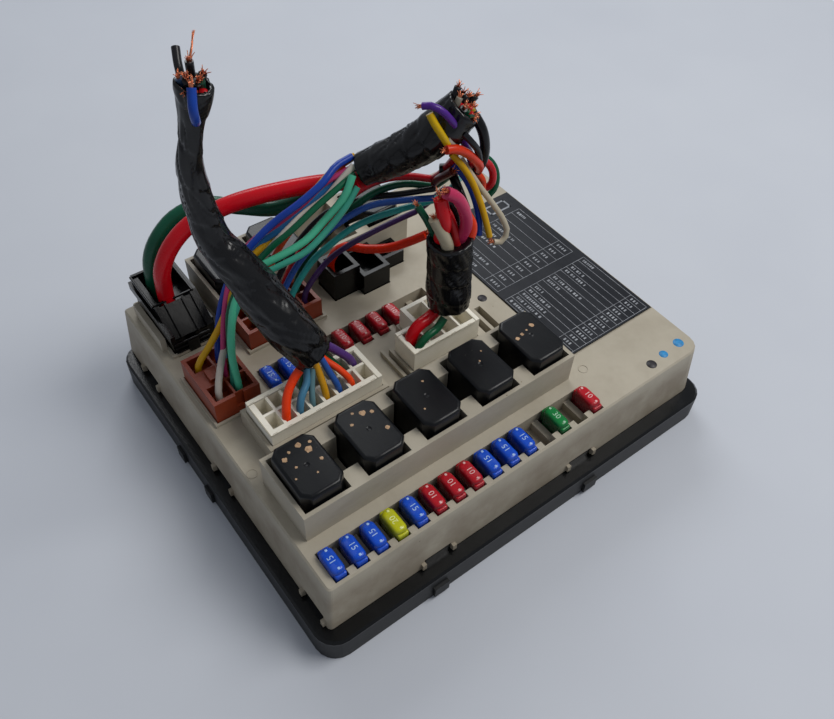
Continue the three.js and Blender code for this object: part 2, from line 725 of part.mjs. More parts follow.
function place(name, solid, material, x = 0, y = 0) {
  const mesh = new THREE.Mesh(geometryOf(solid), material);
  mesh.name = name;
  mesh.position.set(x, y, 0);
  plateFrame.add(mesh);
}

function placeFuses(prefix, row) {
  fuseCentres(row).forEach(([x, y], i) => {
    const rating = row.ratings[i];
    if (!rating) return;
    const name = `${prefix}_${String(i + 1).padStart(2, "0")}_${ratingName[rating]}`;
    place(name, fuseBody(), plastic(ratingColour[rating], 0.35), x, y);
  });
}

function placeRelays(prefix, row) {
  for (const socket of row.fitted) {
    const [x, y] = relayCentres(row)[socket];
    place(`${prefix}_${socket + 1}`, relayBody(), plastic("#14161b", 0.45), x, y);
  }
}

place("lower_cover", lowerCover(), plastic("#101114", 0.45));
place("upper_housing", upperHousing(), ivory());
place("circuit_board", circuitBoard(), plastic("#1f5a37", 0.55));
place("label_plate", labelPlate(), plastic("#1c1f26", 0.5));
placeFuses("fuse_front", frontFuses);
placeFuses("fuse_middle", middleFuses);
placeRelays("relay_front", frontRelays);
placeRelays("relay_back", backRelays);
place("connector_white_large", whiteLargePlug(), white());
place("connector_white_small", whiteSmallPlug(), white());
place("connector_brown_front", brownFrontPlug(), brown());
place("connector_brown_rear", brownRearPlug(), brown());
place("connector_black_centre", centrePlug(), blackPlastic());
place("connector_power", powerPlugBody(), blackPlastic());
for (const [name, piece] of Object.entries(harness)) {
  const solid = piece.radii ? taperedBundle(piece) : cord(piece);
  place(name, solid, plastic(piece.colour, name.startsWith("tape") ? 0.35 : 0.45));
}

export default panel;
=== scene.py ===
import math
import random

import bmesh
import bpy
from mathutils import Matrix, Vector, noise


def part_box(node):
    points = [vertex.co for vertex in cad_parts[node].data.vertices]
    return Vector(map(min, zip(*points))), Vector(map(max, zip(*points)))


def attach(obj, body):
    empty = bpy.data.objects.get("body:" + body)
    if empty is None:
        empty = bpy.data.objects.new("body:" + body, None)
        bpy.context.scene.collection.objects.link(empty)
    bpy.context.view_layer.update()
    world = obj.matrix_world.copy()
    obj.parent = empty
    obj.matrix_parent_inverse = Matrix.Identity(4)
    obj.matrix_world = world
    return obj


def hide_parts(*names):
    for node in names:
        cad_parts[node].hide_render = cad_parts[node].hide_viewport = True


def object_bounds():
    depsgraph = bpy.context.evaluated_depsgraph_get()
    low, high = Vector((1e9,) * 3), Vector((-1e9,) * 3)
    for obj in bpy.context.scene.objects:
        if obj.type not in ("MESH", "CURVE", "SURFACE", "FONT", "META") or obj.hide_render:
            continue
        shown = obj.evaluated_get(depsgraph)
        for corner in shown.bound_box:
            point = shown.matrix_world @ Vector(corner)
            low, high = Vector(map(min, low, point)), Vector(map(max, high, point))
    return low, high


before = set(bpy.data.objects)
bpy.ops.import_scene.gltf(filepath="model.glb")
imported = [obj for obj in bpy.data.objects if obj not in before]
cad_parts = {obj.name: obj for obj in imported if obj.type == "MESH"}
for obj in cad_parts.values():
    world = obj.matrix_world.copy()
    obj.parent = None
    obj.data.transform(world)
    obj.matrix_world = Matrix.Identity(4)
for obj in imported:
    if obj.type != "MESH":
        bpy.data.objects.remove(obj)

MM = 0.001
PANEL = "panel"
SMALL = "small_connector"
cad_low, cad_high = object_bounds()

# ------------------------------------------------------------------ the frame's own positions

BLOCK_FLARE = 1.7
RELAY_RIM = 13.0
housing_low, housing_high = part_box("upper_housing")
CORNER = Vector((
    housing_low[0] + BLOCK_FLARE * MM,
    housing_low[1] + BLOCK_FLARE * MM,
    housing_high[2] - RELAY_RIM * MM,
))


def at(x, y, z):
    """A point in the plate's millimetres as a point in the row frame."""
    return CORNER + Vector((x, y, z)) * MM


# ------------------------------------------------------------------ camera, floor and lights

CAMERA_PLACE = (-49.9, -96.11, 232.74)
CAMERA_FORWARD = (0.41183563, 0.50159013, -0.76078824)
CAMERA_RIGHT = (0.79747146, -0.60236658, 0.03455105)
SENSOR_WIDTH = 36
LENS = 36.47


def make_camera():
    forward = Vector(CAMERA_FORWARD).normalized()
    right = Vector(CAMERA_RIGHT).normalized()
    up = right.cross(forward)
    data = bpy.data.cameras.new("camera")
    data.sensor_width = SENSOR_WIDTH
    data.lens = LENS
    data.clip_start = 0.01
    data.clip_end = 20
    camera = bpy.data.objects.new("camera", data)
    bpy.context.scene.collection.objects.link(camera)
    turn = Matrix((right, up, -forward)).transposed().to_4x4()
    camera.matrix_world = Matrix.Translation(at(*CAMERA_PLACE)) @ turn
    bpy.context.scene.camera = camera


def make_light(name, place, aim, size, watts, colour=(1, 1, 1)):
    data = bpy.data.lights.new(name, "AREA")
    data.shape = "RECTANGLE"
    data.size, data.size_y = size
    data.energy = watts
    data.color = colour
    light = bpy.data.objects.new(name, data)
    bpy.context.scene.collection.objects.link(light)
    light.location = place
    light.rotation_mode = "QUATERNION"
    light.rotation_quaternion = (Vector(aim) - Vector(place)).to_track_quat("-Z", "Y")


# ------------------------------------------------------------------ materials

def rgb(code):
    """A hex colour as the linear values that a shader socket takes."""
    values = [int(code[i : i + 2], 16) / 255 for i in (1, 3, 5)]
    return [v / 12.92 if v <= 0.04045 else ((v + 0.055) / 1.055) ** 2.4 for v in values] + [1]


class Graph:
    """Builds one material's nodes. Coordinates are the object's own, in metres."""

    def __init__(self, name):
        self.material = bpy.data.materials.new(name)
        self.material.use_nodes = True
        self.tree = self.material.node_tree
        self.tree.nodes.clear()
        self.coords = self.add("ShaderNodeTexCoord").outputs["Object"]

    def add(self, kind, **settings):
        node = self.tree.nodes.new(kind)
        for key, value in settings.items():
            setattr(node, key, value)
        return node

    def set(self, socket, value):
        if isinstance(value, bpy.types.NodeSocket):
            self.tree.links.new(value, socket)
        else:
            socket.default_value = value

    def stretched(self, scale):
        node = self.add("ShaderNodeMapping")
        self.set(node.inputs["Vector"], self.coords)
        node.inputs["Scale"].default_value = scale
        return node.outputs["Vector"]

    def noise(self, scale, detail=3, rough=0.6, coords=None):
        node = self.add("ShaderNodeTexNoise")
        self.set(node.inputs["Vector"], coords or self.coords)
        node.inputs["Scale"].default_value = scale
        node.inputs["Detail"].default_value = detail
        node.inputs["Roughness"].default_value = rough
        return node.outputs["Fac"]

    def spots(self, scale, low, high):
        """White in scattered round spots: a cell's distance from its middle, cut off between two values."""
        node = self.add("ShaderNodeTexVoronoi")
        self.set(node.inputs["Vector"], self.coords)
        node.inputs["Scale"].default_value = scale
        return self.ramp(node.outputs["Distance"], [(low, (1, 1, 1, 1)), (high, (0, 0, 0, 1))])

    def ramp(self, value, stops):
        node = self.add("ShaderNodeValToRGB")
        self.set(node.inputs["Fac"], value)
        elements = node.color_ramp.elements
        while len(elements) < len(stops):
            elements.new(0.5)
        for element, (position, colour) in zip(elements, stops):
            element.position = position
            element.color = colour
        return node.outputs["Color"]

    def fade(self, value, low, high):
        """0 below low and 1 above high."""
        node = self.add("ShaderNodeMapRange")
        self.set(node.inputs["Value"], value)
        node.inputs["From Min"].default_value = low
        node.inputs["From Max"].default_value = high
        return node.outputs["Result"]

    def spread(self, value, low, high):
        """A value from 0 to 1 as one from low to high."""
        node = self.add("ShaderNodeMapRange")
        self.set(node.inputs["Value"], value)
        node.inputs["To Min"].default_value = low
        node.inputs["To Max"].default_value = high
        return node.outputs["Result"]

    def math(self, operation, a, b):
        node = self.add("ShaderNodeMath", operation=operation)
        self.set(node.inputs[0], a)
        self.set(node.inputs[1], b)
        return node.outputs[0]

    def mix(self, factor, a, b, blend="MIX"):
        node = self.add("ShaderNodeMix", data_type="RGBA", blend_type=blend)
        self.set(node.inputs[0], factor)
        self.set(node.inputs[6], a)
        self.set(node.inputs[7], b)
        return node.outputs[2]

    def height(self):
        node = self.add("ShaderNodeSeparateXYZ")
        self.set(node.inputs[0], self.coords)
        return node.outputs["Z"]

    def upward(self):
        geometry = self.add("ShaderNodeNewGeometry")
        node = self.add("ShaderNodeSeparateXYZ")
        self.set(node.inputs[0], geometry.outputs["Normal"])
        return node.outputs["Z"]

    def bump(self, height, strength, distance, normal=None):
        node = self.add("ShaderNodeBump")
        self.set(node.inputs["Height"], height)
        node.inputs["Strength"].default_value = strength
        node.inputs["Distance"].default_value = distance
        if normal:
            self.set(node.inputs["Normal"], normal)
        return node.outputs["Normal"]

    def finish(self, **inputs):
        shader = self.add("ShaderNodeBsdfPrincipled")
        for key, value in inputs.items():
            self.set(shader.inputs[key.replace("_", " ")], value)
        out = self.add("ShaderNodeOutputMaterial")
        self.set(out.inputs["Surface"], shader.outputs["BSDF"])
        return self.material


def moulded(name, colour, dust, stain_and_shade, rough=(0.45, 0.62), shade_and_stain_below=None, specular=0.4, grime=0.35):
    """Moulded plastic: cloudy colour with patches of a dust colour, streaks and specks of stain, and below a
    height a patchy brown that is partly grime and partly painted shade in the recesses.
    """
    g = Graph(name)
    cloud = g.noise(55, 5, 0.65)
    fine = g.noise(900, 3, 0.6)
    base = g.mix(g.fade(cloud, 0.35, 0.7), rgb(colour), rgb(dust))
    streaks = g.noise(28, 4, 0.7, g.stretched((1, 1, 3.2)))
    base = g.mix(g.math("MULTIPLY", g.fade(streaks, 0.5, 0.72), grime), base, rgb(stain_and_shade))
    # Painted shade, partly grime: a patchy brown that darkens what lies below a height, in the recesses.
    if shade_and_stain_below is not None:
        depth = g.fade(g.height(), shade_and_stain_below[1], shade_and_stain_below[0])
        patchy = g.math("MULTIPLY", depth, g.fade(g.noise(70, 4, 0.6), 0.2, 0.65))
        base = g.mix(g.math("MULTIPLY", patchy, 0.5), base, rgb(stain_and_shade))
    specks = g.math("MULTIPLY", g.spots(160, 0.03, 0.055), g.fade(g.noise(30, 2), 0.52, 0.6))
    base = g.mix(g.math("MULTIPLY", specks, 0.7), base, rgb(stain_and_shade))
    normal = g.bump(fine, 0.25, 0.00012, g.bump(cloud, 0.2, 0.0006))
    return g.finish(
        Base_Color=base,
        Roughness=g.spread(cloud, *rough),
        Specular_IOR_Level=specular,
        Normal=normal,
    )


def insulation(name, colour, dirt="#20180f"):
    """Soft wire insulation: a slightly uneven colour, a few specks of dirt and a narrow shine."""
    g = Graph(name)
    cloud = g.noise(160, 3, 0.55)
    base = g.mix(g.fade(cloud, 0.35, 0.75), rgb(colour), g.mix(0.12, rgb(colour), rgb("#000000")))
    grime = g.math("MULTIPLY", g.fade(g.noise(95, 5, 0.75), 0.6, 0.72), 0.3)
    base = g.mix(grime, base, rgb(dirt))
    return g.finish(
        Base_Color=base,
        Roughness=g.math("ADD", 0.2, g.math("MULTIPLY", cloud, 0.16)),
        Specular_IOR_Level=0.3,
        Normal=g.bump(g.noise(500, 2), 0.12, 0.0001),
    )


def tape_material():
    """Vinyl tape: glossy black with long folds and brown smears of glue."""
    g = Graph("vinyl_tape")
    folds = g.noise(70, 3, 0.55, g.stretched((1, 1, 0.32)))
    smear = g.math("MULTIPLY", g.fade(g.noise(34, 3, 0.5, g.stretched((1, 1, 0.5))), 0.6, 0.75), 0.3)
    base = g.mix(smear, rgb("#060608"), rgb("#5d4a34"))
    rough = g.math("ADD", 0.13, g.math("MULTIPLY", g.noise(90, 3), 0.2))
    normal = g.bump(folds, 0.9, 0.002, g.bump(g.noise(300, 3, 0.55), 0.25, 0.0002))
    return g.finish(Base_Color=base, Roughness=rough, Specular_IOR_Level=0.45, Normal=normal)


def copper_material():
    g = Graph("copper_strand")
    tarnish = g.fade(g.noise(600, 4, 0.7), 0.35, 0.7)
    base = g.mix(tarnish, rgb("#f0a07a"), rgb("#b5532e"))
    rough = g.math("ADD", 0.22, g.math("MULTIPLY", tarnish, 0.25))
    normal = g.bump(g.noise(2500), 0.2, 0.00005)
    return g.finish(Base_Color=base, Metallic=1.0, Roughness=rough, Normal=normal)


def metal_material():
    g = Graph("tinned_metal")
    scuff = g.noise(900, 4, 0.7)
    base = g.mix(g.fade(scuff, 0.3, 0.8), rgb("#d9dadb"), rgb("#8e8f92"))
    rough = g.math("ADD", 0.2, g.math("MULTIPLY", scuff, 0.25))
    return g.finish(Base_Color=base, Metallic=1.0, Roughness=rough, Normal=g.bump(scuff, 0.2, 0.00005))


def fuse_material(name, colour, side_shade):
    """Translucent fuse plastic with painted shade: darker on the sides and lighter where it faces up, with
    light scratches on the crown.
    """
    g = Graph(name)
    cloud = g.noise(260, 4, 0.6)
    # Painted shade: the top colour on faces that point up, the darker side colour on faces that turn away.
    base = g.mix(g.fade(g.upward(), 0.0, 0.95), rgb(side_shade), rgb(colour))
    base = g.mix(g.math("MULTIPLY", g.fade(cloud, 0.55, 0.85), 0.08), base, rgb("#e8e8e4"))
    return g.finish(
        Base_Color=base,
        Roughness=g.math("ADD", 0.16, g.math("MULTIPLY", cloud, 0.2)),
        Specular_IOR_Level=0.4,
        Subsurface_Weight=0.12,
        Subsurface_Radius=(0.0012, 0.0012, 0.0012),
        Subsurface_Scale=0.6,
        Normal=g.bump(g.noise(1200), 0.18, 0.0001),
    )


def black_material(name, colour, dust, dusting=0.3, rough=(0.28, 0.5), specular=0.5):
    """Black moulding: grey dust and wipe marks over a satin to glossy skin."""
    g = Graph(name)
    wipe = g.noise(45, 5, 0.7, g.stretched((1.6, 0.6, 1)))
    fine = g.noise(1000, 3)
    dusty = g.math("MULTIPLY", g.fade(g.upward(), 0.1, 0.95), g.fade(wipe, 0.4, 0.72))
    base = g.mix(g.math("MULTIPLY", dusty, dusting), rgb(colour), rgb(dust))
    specks = g.math("MULTIPLY", g.spots(420, 0.04, 0.08), g.fade(g.noise(80, 2), 0.5, 0.62))
    base = g.mix(g.math("MULTIPLY", specks, 0.55), base, rgb(dust))
    return g.finish(
        Base_Color=base,
        Roughness=g.spread(wipe, *rough),
        Specular_IOR_Level=specular,
        Normal=g.bump(fine, 0.2, 0.00012, g.bump(wipe, 0.1, 0.0005)),
    )


def cover_material(ledge_height):
    """The lower cover: wet-looking black on its ledge and a dull grey-black skirt below it."""
    g = Graph("cover_plastic")
    ledge = g.fade(g.height(), ledge_height - 0.0016, ledge_height - 0.0006)
    scuff = g.noise(70, 5, 0.7, g.stretched((1, 1, 2)))
    skirt = g.mix(g.fade(scuff, 0.35, 0.7), rgb("#090a0b"), rgb("#151618"))
    top = g.mix(g.math("MULTIPLY", g.fade(scuff, 0.55, 0.74), 0.16), rgb("#030405"), rgb("#3d3d40"))
    base = g.mix(ledge, skirt, top)
    dull = g.math("ADD", 0.4, g.math("MULTIPLY", scuff, 0.2))
    rough = g.math("SUBTRACT", dull, g.math("MULTIPLY", ledge, 0.27))
    normal = g.bump(g.noise(800, 3), 0.25, 0.00015)
    return g.finish(Base_Color=base, Roughness=rough, Specular_IOR_Level=0.38, Normal=normal)


def board_material():
    g = Graph("solder_mask")
    weave = g.noise(400, 3)
    traces = g.fade(g.noise(90, 1, 0.3, g.stretched((3, 0.6, 1))), 0.48, 0.5)
    base = g.mix(traces, rgb("#0f4a2a"), rgb("#1d6b3f"))
    return g.finish(Base_Color=base, Roughness=0.35, Normal=g.bump(weave, 0.2, 0.0001))


def printed_material():
    g = Graph("pale_print")
    worn = g.noise(500, 4, 0.7)
    base = g.mix(g.fade(worn, 0.35, 0.7), rgb("#a3a6ab"), rgb("#5f6268"))
    return g.finish(Base_Color=base, Roughness=0.6, Normal=g.bump(worn, 0.1, 0.00005))


def paint_material(name, colour, shade):
    g = Graph(name)
    uneven = g.noise(700, 4, 0.7)
    base = g.mix(g.fade(uneven, 0.35, 0.7), rgb(colour), rgb(shade))
    return g.finish(Base_Color=base, Roughness=0.5, Normal=g.bump(uneven, 0.3, 0.0001))


def floor_material():
    g = Graph("studio_floor")
    smudge = g.fade(g.noise(4, 4, 0.6), 0.35, 0.7)
    base = g.mix(smudge, rgb("#c3c7ce"), rgb("#bcc0c8"))
    normal = g.bump(smudge, 0.05, 0.001)
    return g.finish(Base_Color=base, Roughness=0.55, Specular_IOR_Level=0.25, Normal=normal)


# ------------------------------------------------------------------ curves and meshes

STEPS_PER_SPAN = 24


def between(first, second, start, end, place):
    """The point at a place on the line that is at first at start and at second at end."""
    return first * ((end - place) / (end - start)) + second * ((place - start) / (end - start))


def spline(points, count):
    """count points evenly along the smooth curve through the given ones, as the CAD's tubes run."""
    knots = [Vector(p) for p in points]
    knots = [2 * knots[0] - knots[1]] + knots + [2 * knots[-1] - knots[-2]]
    dense = []
    for i in range(1, len(knots) - 2):
        p = knots[i - 1 : i + 3]
        t = [0.0]
        for a, b in zip(p, p[1:]):
            t.append(t[-1] + max((b - a).length ** 0.5, 1e-6))
        for step in range(STEPS_PER_SPAN):
            u = t[1] + (t[2] - t[1]) * step / STEPS_PER_SPAN
            a = [between(p[k], p[k + 1], t[k], t[k + 1], u) for k in range(3)]
            b = [between(a[k], a[k + 1], t[k], t[k + 2], u) for k in range(2)]
            dense.append(between(b[0], b[1], t[1], t[2], u))
    dense.append(knots[-2])
    lengths = [0.0]
    for a, b in zip(dense, dense[1:]):
        lengths.append(lengths[-1] + (b - a).length)
    result = []
    j = 0
    for i in range(count):
        target = lengths[-1] * i / (count - 1)
        while j < len(dense) - 2 and lengths[j + 1] < target:
            j += 1
        span = max(lengths[j + 1] - lengths[j], 1e-9)
        result.append(dense[j].lerp(dense[j + 1], min(1, (target - lengths[j]) / span)))
    return result, lengths[-1]


def frames(points):
    """A square frame (tangent, side, up) at each point that doesn't twist along the line."""
    result = []
    side = None
    for i, point in enumerate(points):
        tangent = (points[min(i + 1, len(points) - 1)] - points[max(i - 1, 0)]).normalized()
        if side is None:
            side = tangent.orthogonal().normalized()
        side = (side - tangent * side.dot(tangent)).normalized()
        result.append((tangent, side, tangent.cross(side)))
    return result


def add_tube(bm, points, radius, sides=8, slot=0, capped=True):
    """A tube through points in metres. radius is a number, or a function of (how far along, angle)."""
    rings = []
    last = len(points) - 1
    for i, (point, (_, side, up)) in enumerate(zip(points, frames(points))):
        ring = []
        for k in range(sides):
            angle = 2 * math.pi * k / sides
            reach = radius(i / last, angle) if callable(radius) else radius
            offset = side * (reach * math.cos(angle)) + up * (reach * math.sin(angle))
            ring.append(bm.verts.new(point + offset))
        rings.append(ring)
    for low, high in zip(rings, rings[1:]):
        for k in range(sides):
            n = (k + 1) % sides
            face = bm.faces.new((low[k], low[n], high[n], high[k]))
            face.material_index = slot
            face.smooth = True
    if capped:
        for ring in (list(reversed(rings[0])), rings[-1]):
            face = bm.faces.new(ring)
            face.material_index = slot
    return rings


def add_box(bm, low, high, slot=0, bevel=0.0, segments=2):
    """A box between two corners in metres, with its edges rounded where bevel is given."""
    made = bmesh.ops.create_cube(bm, size=1)
    verts = made["verts"]
    size = Vector(high) - Vector(low)
    middle = (Vector(high) + Vector(low)) / 2
    for v in verts:
        v.co = Vector((v.co.x * size.x, v.co.y * size.y, v.co.z * size.z)) + middle
    faces = {f for v in verts for f in v.link_faces}
    for f in faces:
        f.material_index = slot
    if bevel:
        chosen = list({e for v in verts for e in v.link_edges})
        made = bmesh.ops.bevel(bm, geom=chosen, offset=bevel, segments=segments, profile=0.5, affect="EDGES")
        for f in made["faces"]:
            f.material_index = slot
            f.smooth = True


def piece(name, bm, materials, body):
    mesh = bpy.data.meshes.new(name)
    bmesh.ops.recalc_face_normals(bm, faces=bm.faces)
    bm.to_mesh(mesh)
    bm.free()
    for material in materials:
        mesh.materials.append(material)
    obj = bpy.data.objects.new(name, mesh)
    bpy.context.scene.collection.objects.link(obj)
    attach(obj, body)
    return obj


# ------------------------------------------------------------------ the harness

# Diameter, colour and the points that each wire passes through. The routes are the CAD model's, except
# that wire_stub_pink leans further out above the tape.
HARNESS = {
    "cable_red": (6, "#c60518", [
        (12.5, 122.2, 10.8), (12.5, 121.6, 20), (13, 120, 30), (17.5, 119, 39), (25, 117.5, 46),
        (35, 113.5, 51), (44.5, 110.5, 53), (57.5, 106, 54), (66.5, 101.5, 55), (75.1, 89.8, 59.8)]),
    "cable_green": (5.4, "#0a4f38", [
        (12, 131, 10.8), (12, 130.5, 19), (13, 130, 28), (17, 129, 36), (24.5, 128.5, 42),
        (34.5, 125.5, 45),
        (44, 118.5, 44), (53.5, 111, 44), (63.5, 105, 48), (73, 103, 51.5), (78.7, 94.4, 60.1)]),
    "wire_front_yellow": (2.4, "#c99a12", [
        (7.8, 91.3, 5), (8.2, 91.3, 10.5), (14, 92.4, 16), (20, 94, 21.5), (26, 96, 29), (30.5, 96.8, 35),
        (36, 97.6, 40.3), (47, 99, 44), (58, 98.5, 51.8), (68, 97.2, 61.2), (77.6, 97, 64.2)]),
    "wire_front_mint": (2.6, "#4fb893", [
        (15.4, 77, 5), (15.6, 77.7, 10.5), (17, 82, 18), (20, 86, 25), (24.5, 90.5, 31), (30, 91.5, 37),
        (35.5, 91.6, 41), (43, 89.4, 44), (51.5, 88, 47), (59, 88.5, 51), (67.2, 87.4, 59),
        (71.4, 89.1, 64.1)]),
    "wire_front_blue": (2.4, "#1a3f9e", [
        (15.5, 91.2, 5), (16, 91.8, 11), (21, 98, 19.5), (25.5, 100, 28), (30, 99, 37), (35, 97, 45),
        (44.5, 96, 52), (54, 93.5, 58), (62.5, 93, 62.5), (69, 95, 65), (75.5, 95.4, 65.8)]),
    "wire_front_white": (2.4, "#bfb7ac", [
        (8, 77.3, 5), (8.6, 78, 10.6), (12.5, 83, 14), (19, 90, 17), (26, 96, 21.5), (31, 97.5, 27),
        (35.5, 96.5, 34), (39.5, 94.4, 42), (46, 91.8, 50), (55, 92.5, 54), (62.5, 91.5, 57.5),
        (68.5, 92, 61.3), (74.1, 92.5, 64.5)]),
    "wire_rear_red": (2.6, "#b00f1c", [
        (49, 104.5, 4), (49.5, 104.5, 12), (57, 105, 24), (63.5, 100, 37),
        (74, 98.5, 46), (85, 96, 51), (93, 89.5, 54), (99, 82, 55)]),
    "wire_rear_green": (2.6, "#0b4f37", [
        (55, 104.5, 4), (55.5, 104.5, 12), (61.5, 104, 23), (68.5, 100.5, 34),
        (76.5, 98, 42), (86, 95.5, 47), (93.5, 90.5, 50), (100.5, 82.5, 51)]),
    "wire_rear_mint": (2.4, "#2f9893", [
        (49, 98.5, 4), (49.5, 99, 12), (60, 100, 24), (66, 97, 31), (73.5, 95, 36),
        (81, 92.5, 39), (90, 88, 42), (97, 85.5, 43), (101.5, 83.5, 44)]),
    "wire_rear_purple": (2.2, "#3a2250", [
        (55, 98.5, 4), (55.5, 99, 11), (66, 101, 19), (72.5, 97.5, 26), (82.5, 95, 30), (93.5, 92.5, 33),
        (99, 90.5, 35)]),
    "wire_centre_orange": (3.4, "#d92a0a", [
        (71.2, 106, 7), (71.2, 106, 13), (73, 105.2, 17.5), (76, 103.5, 20.5),
        (82, 97, 21), (88, 91, 23), (93.5, 86, 27), (97.5, 82, 31)]),
    "wire_white_orange": (3, "#ea3c07", [
        (20.7, 54.4, 5), (20.7, 54.6, 12.5), (23.8, 58.3, 17.2), (27.8, 60.5, 20.2), (30.6, 61.2, 22)]),
    "wire_white_lightblue": (2.6, "#447a98", [
        (25.7, 54.4, 5), (25.8, 54.5, 12.5), (27.6, 56.1, 15.6), (31.6, 58.9, 17.8), (34.2, 62.7, 21.6)]),
    "wire_white_yellow": (2.4, "#c58d14", [
        (35.8, 54.4, 5), (35.9, 54.8, 12.5), (36.3, 58.5, 18.5), (36.1, 62, 24)]),
    "wire_white_red": (2.4, "#ea4310", [
        (45.8, 54.4, 5), (45.7, 54.8, 12.5), (43.5, 58, 16.5), (40.5, 61.5, 20), (38.3, 64.5, 23.8)]),
    "wire_white_purple": (3, "#533377", [
        (50.8, 61.3, 5), (50.7, 61.5, 12.5), (46.5, 62.8, 19), (41.6, 64.3, 25.2)]),
    "wire_small_red": (4.4, "#cc0415", [
        (73.8, 58.6, 5), (74, 58.6, 12.4), (77, 58.8, 16), (82, 59.2, 16.8), (86, 59.5, 18.6)]),
    "wire_small_green": (3, "#0b5433", [
        (73.8, 54, 5), (74, 54, 11.5), (77, 54, 14.6), (82, 54.4, 15.6), (85.5, 55, 18.4)]),
    "wire_stub_red": (4.6, "#cc0415", [(84, 58.5, 53), (83, 56, 62), (82.5, 58, 70)]),
    "wire_stub_pink": (4, "#b92f58", [
        (90.3, 56, 51.5), (90.6, 54.2, 58), (89, 53.8, 65), (86, 54.6, 71), (82.4, 55.6, 74)]),
}

# Thinner wires that run among the modelled ones.
EXTRA_WIRES = {
    "wire_front_darkgreen": (2.1, "#0d5a3c", [
        (16.6, 84.2, 5), (17.2, 85, 11), (19.5, 88, 20), (23, 92.2, 27.5), (28.5, 93.8, 34.5),
        (34, 94, 39.5),
        (41, 92, 46.5), (49, 90.2, 52), (58, 90, 57), (66, 90, 60.5), (73.2, 91.2, 62.6)]),
    "wire_front_lightblue": (2.1, "#2f78b5", [
        (17.4, 90, 5), (18, 90.6, 11), (22.5, 94.5, 20), (27.5, 97.5, 29.5), (33, 98.9, 36.5),
        (39, 100, 41.5),
        (48, 97, 47.6), (57, 95.4, 53), (65, 94.5, 58), (73.5, 94, 62)]),
    "wire_front_pink": (2.0, "#b3386b", [
        (14.2, 84.5, 5), (14.8, 85.5, 11), (18, 89.5, 19), (22.5, 94.8, 26), (27, 98.6, 32),
        (31.5, 100.5, 38),
        (38, 100.5, 44), (47, 96.8, 50.4), (56, 94.8, 56), (64, 94.6, 60.5), (73.8, 93, 63.6)]),
    "wire_front_teal": (2.2, "#3f9f88", [
        (14.2, 79.3, 5), (15.6, 80.5, 11), (18.6, 84.4, 19.5), (22.3, 88.6, 26.5), (27.8, 90.2, 33.5),
        (33.5, 90.2, 38.5), (41, 87.6, 41.8), (50, 85.6, 44.8), (58, 86, 48.8), (66, 85.9, 55.3),
        (71.8, 87, 60.6)]),
    "wire_rear_blue": (2.3, "#27509f", [
        (43.8, 98.3, 4), (44, 98.6, 11), (52, 100.6, 22), (60, 98.2, 33), (69, 95.6, 40.5), (80, 92.6, 45),
        (90, 86, 47.4), (98.5, 80, 48.5)]),
    "wire_rear_black": (2.2, "#17171a", [
        (38, 98.3, 4), (38.3, 98.6, 11), (47, 101.8, 22), (57, 103.2, 32.5), (68, 101.2, 41.6),
        (80, 98.6, 43.8),
        (92, 88.2, 48), (99.5, 80.3, 52)]),
    "wire_rear_orange": (2.3, "#d2481a", [
        (43.8, 104.7, 4), (44, 104.8, 11), (44.2, 103.8, 20), (45, 101.5, 30), (48.5, 98.5, 40),
        (55, 96.6, 48.6),
        (64, 95.8, 55.4), (72.6, 94.3, 60.6)]),
    "wire_rear_scarlet": (2.3, "#bd1d18", [
        (38.1, 104.7, 4), (38.3, 104.8, 11), (38.8, 104.2, 20), (40.5, 102.6, 31), (46, 100.6, 41.6),
        (54.5, 98.7, 50), (64, 96.8, 57.4), (73.2, 95.8, 62.2)]),
    "wire_white_green": (2.3, "#0f5a34", [
        (30.7, 61.3, 5), (30.9, 61.4, 12.5), (33, 63.2, 18), (35, 66, 23)]),
    "wire_white_grey": (2.1, "#5b7f86", [
        (30.7, 54.4, 5), (30.8, 54.9, 12.5), (32.6, 57.6, 16.4), (35, 60.4, 20.6)]),
    "wire_white_blue": (2.3, "#27529c", [
        (40.8, 54.4, 5), (40.8, 54.8, 12.5), (39.8, 58, 17.5), (38.6, 61.6, 23)]),
    "wire_white_forest": (2.4, "#0e4f30", [
        (45.8, 61.3, 5), (45.6, 61.5, 12.5), (42.6, 63.8, 17.8), (39, 66.6, 23)]),
}


def wire_object(name, points, diameter, material, body):
    """One wire as a round open curve, on its own points."""
    data = bpy.data.curves.new(name, "CURVE")
    data.dimensions = "3D"
    data.bevel_depth = diameter * MM / 2
    data.bevel_resolution = 4
    data.use_fill_caps = True
    line = data.splines.new("POLY")
    line.points.add(len(points) - 1)
    for node, point in zip(line.points, points):
        node.co = (*point, 1)
    data.materials.append(material)
    obj = bpy.data.objects.new(name, data)
    bpy.context.scene.collection.objects.link(obj)
    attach(obj, body)
    return obj


def make_wire(name, diameter, colour, route, body, stands_for=None):
    _, length = spline(route, 2)
    count = max(15, min(40, round(length / 2.6)))
    points = [at(*p) for p in spline(route, count)[0]]
    obj = wire_object(name + "_visual", points, diameter, insulation("insulation_" + name, colour), body)
    if stands_for:
        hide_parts(stands_for)
    return obj


TRUNK_LEFT = [
    (36.5, 63, 25), (32.5, 67, 34), (28, 73, 45), (24, 79, 56), (20, 84.5, 66),
    (18, 86, 79), (17.5, 85, 93), (18.5, 82.5, 105), (20.5, 79.5, 119),
]
TRUNK_RIGHT = [
    (77, 92, 62), (82, 88, 65.5), (87, 83.5, 69.5), (91.5, 79, 74.5), (96, 75, 80.5), (101, 71.5, 88)]
STUB = [(89.5, 58, 21.2), (89.5, 59, 35), (87.5, 58, 52)]


TAPE_EDGE = 0.32


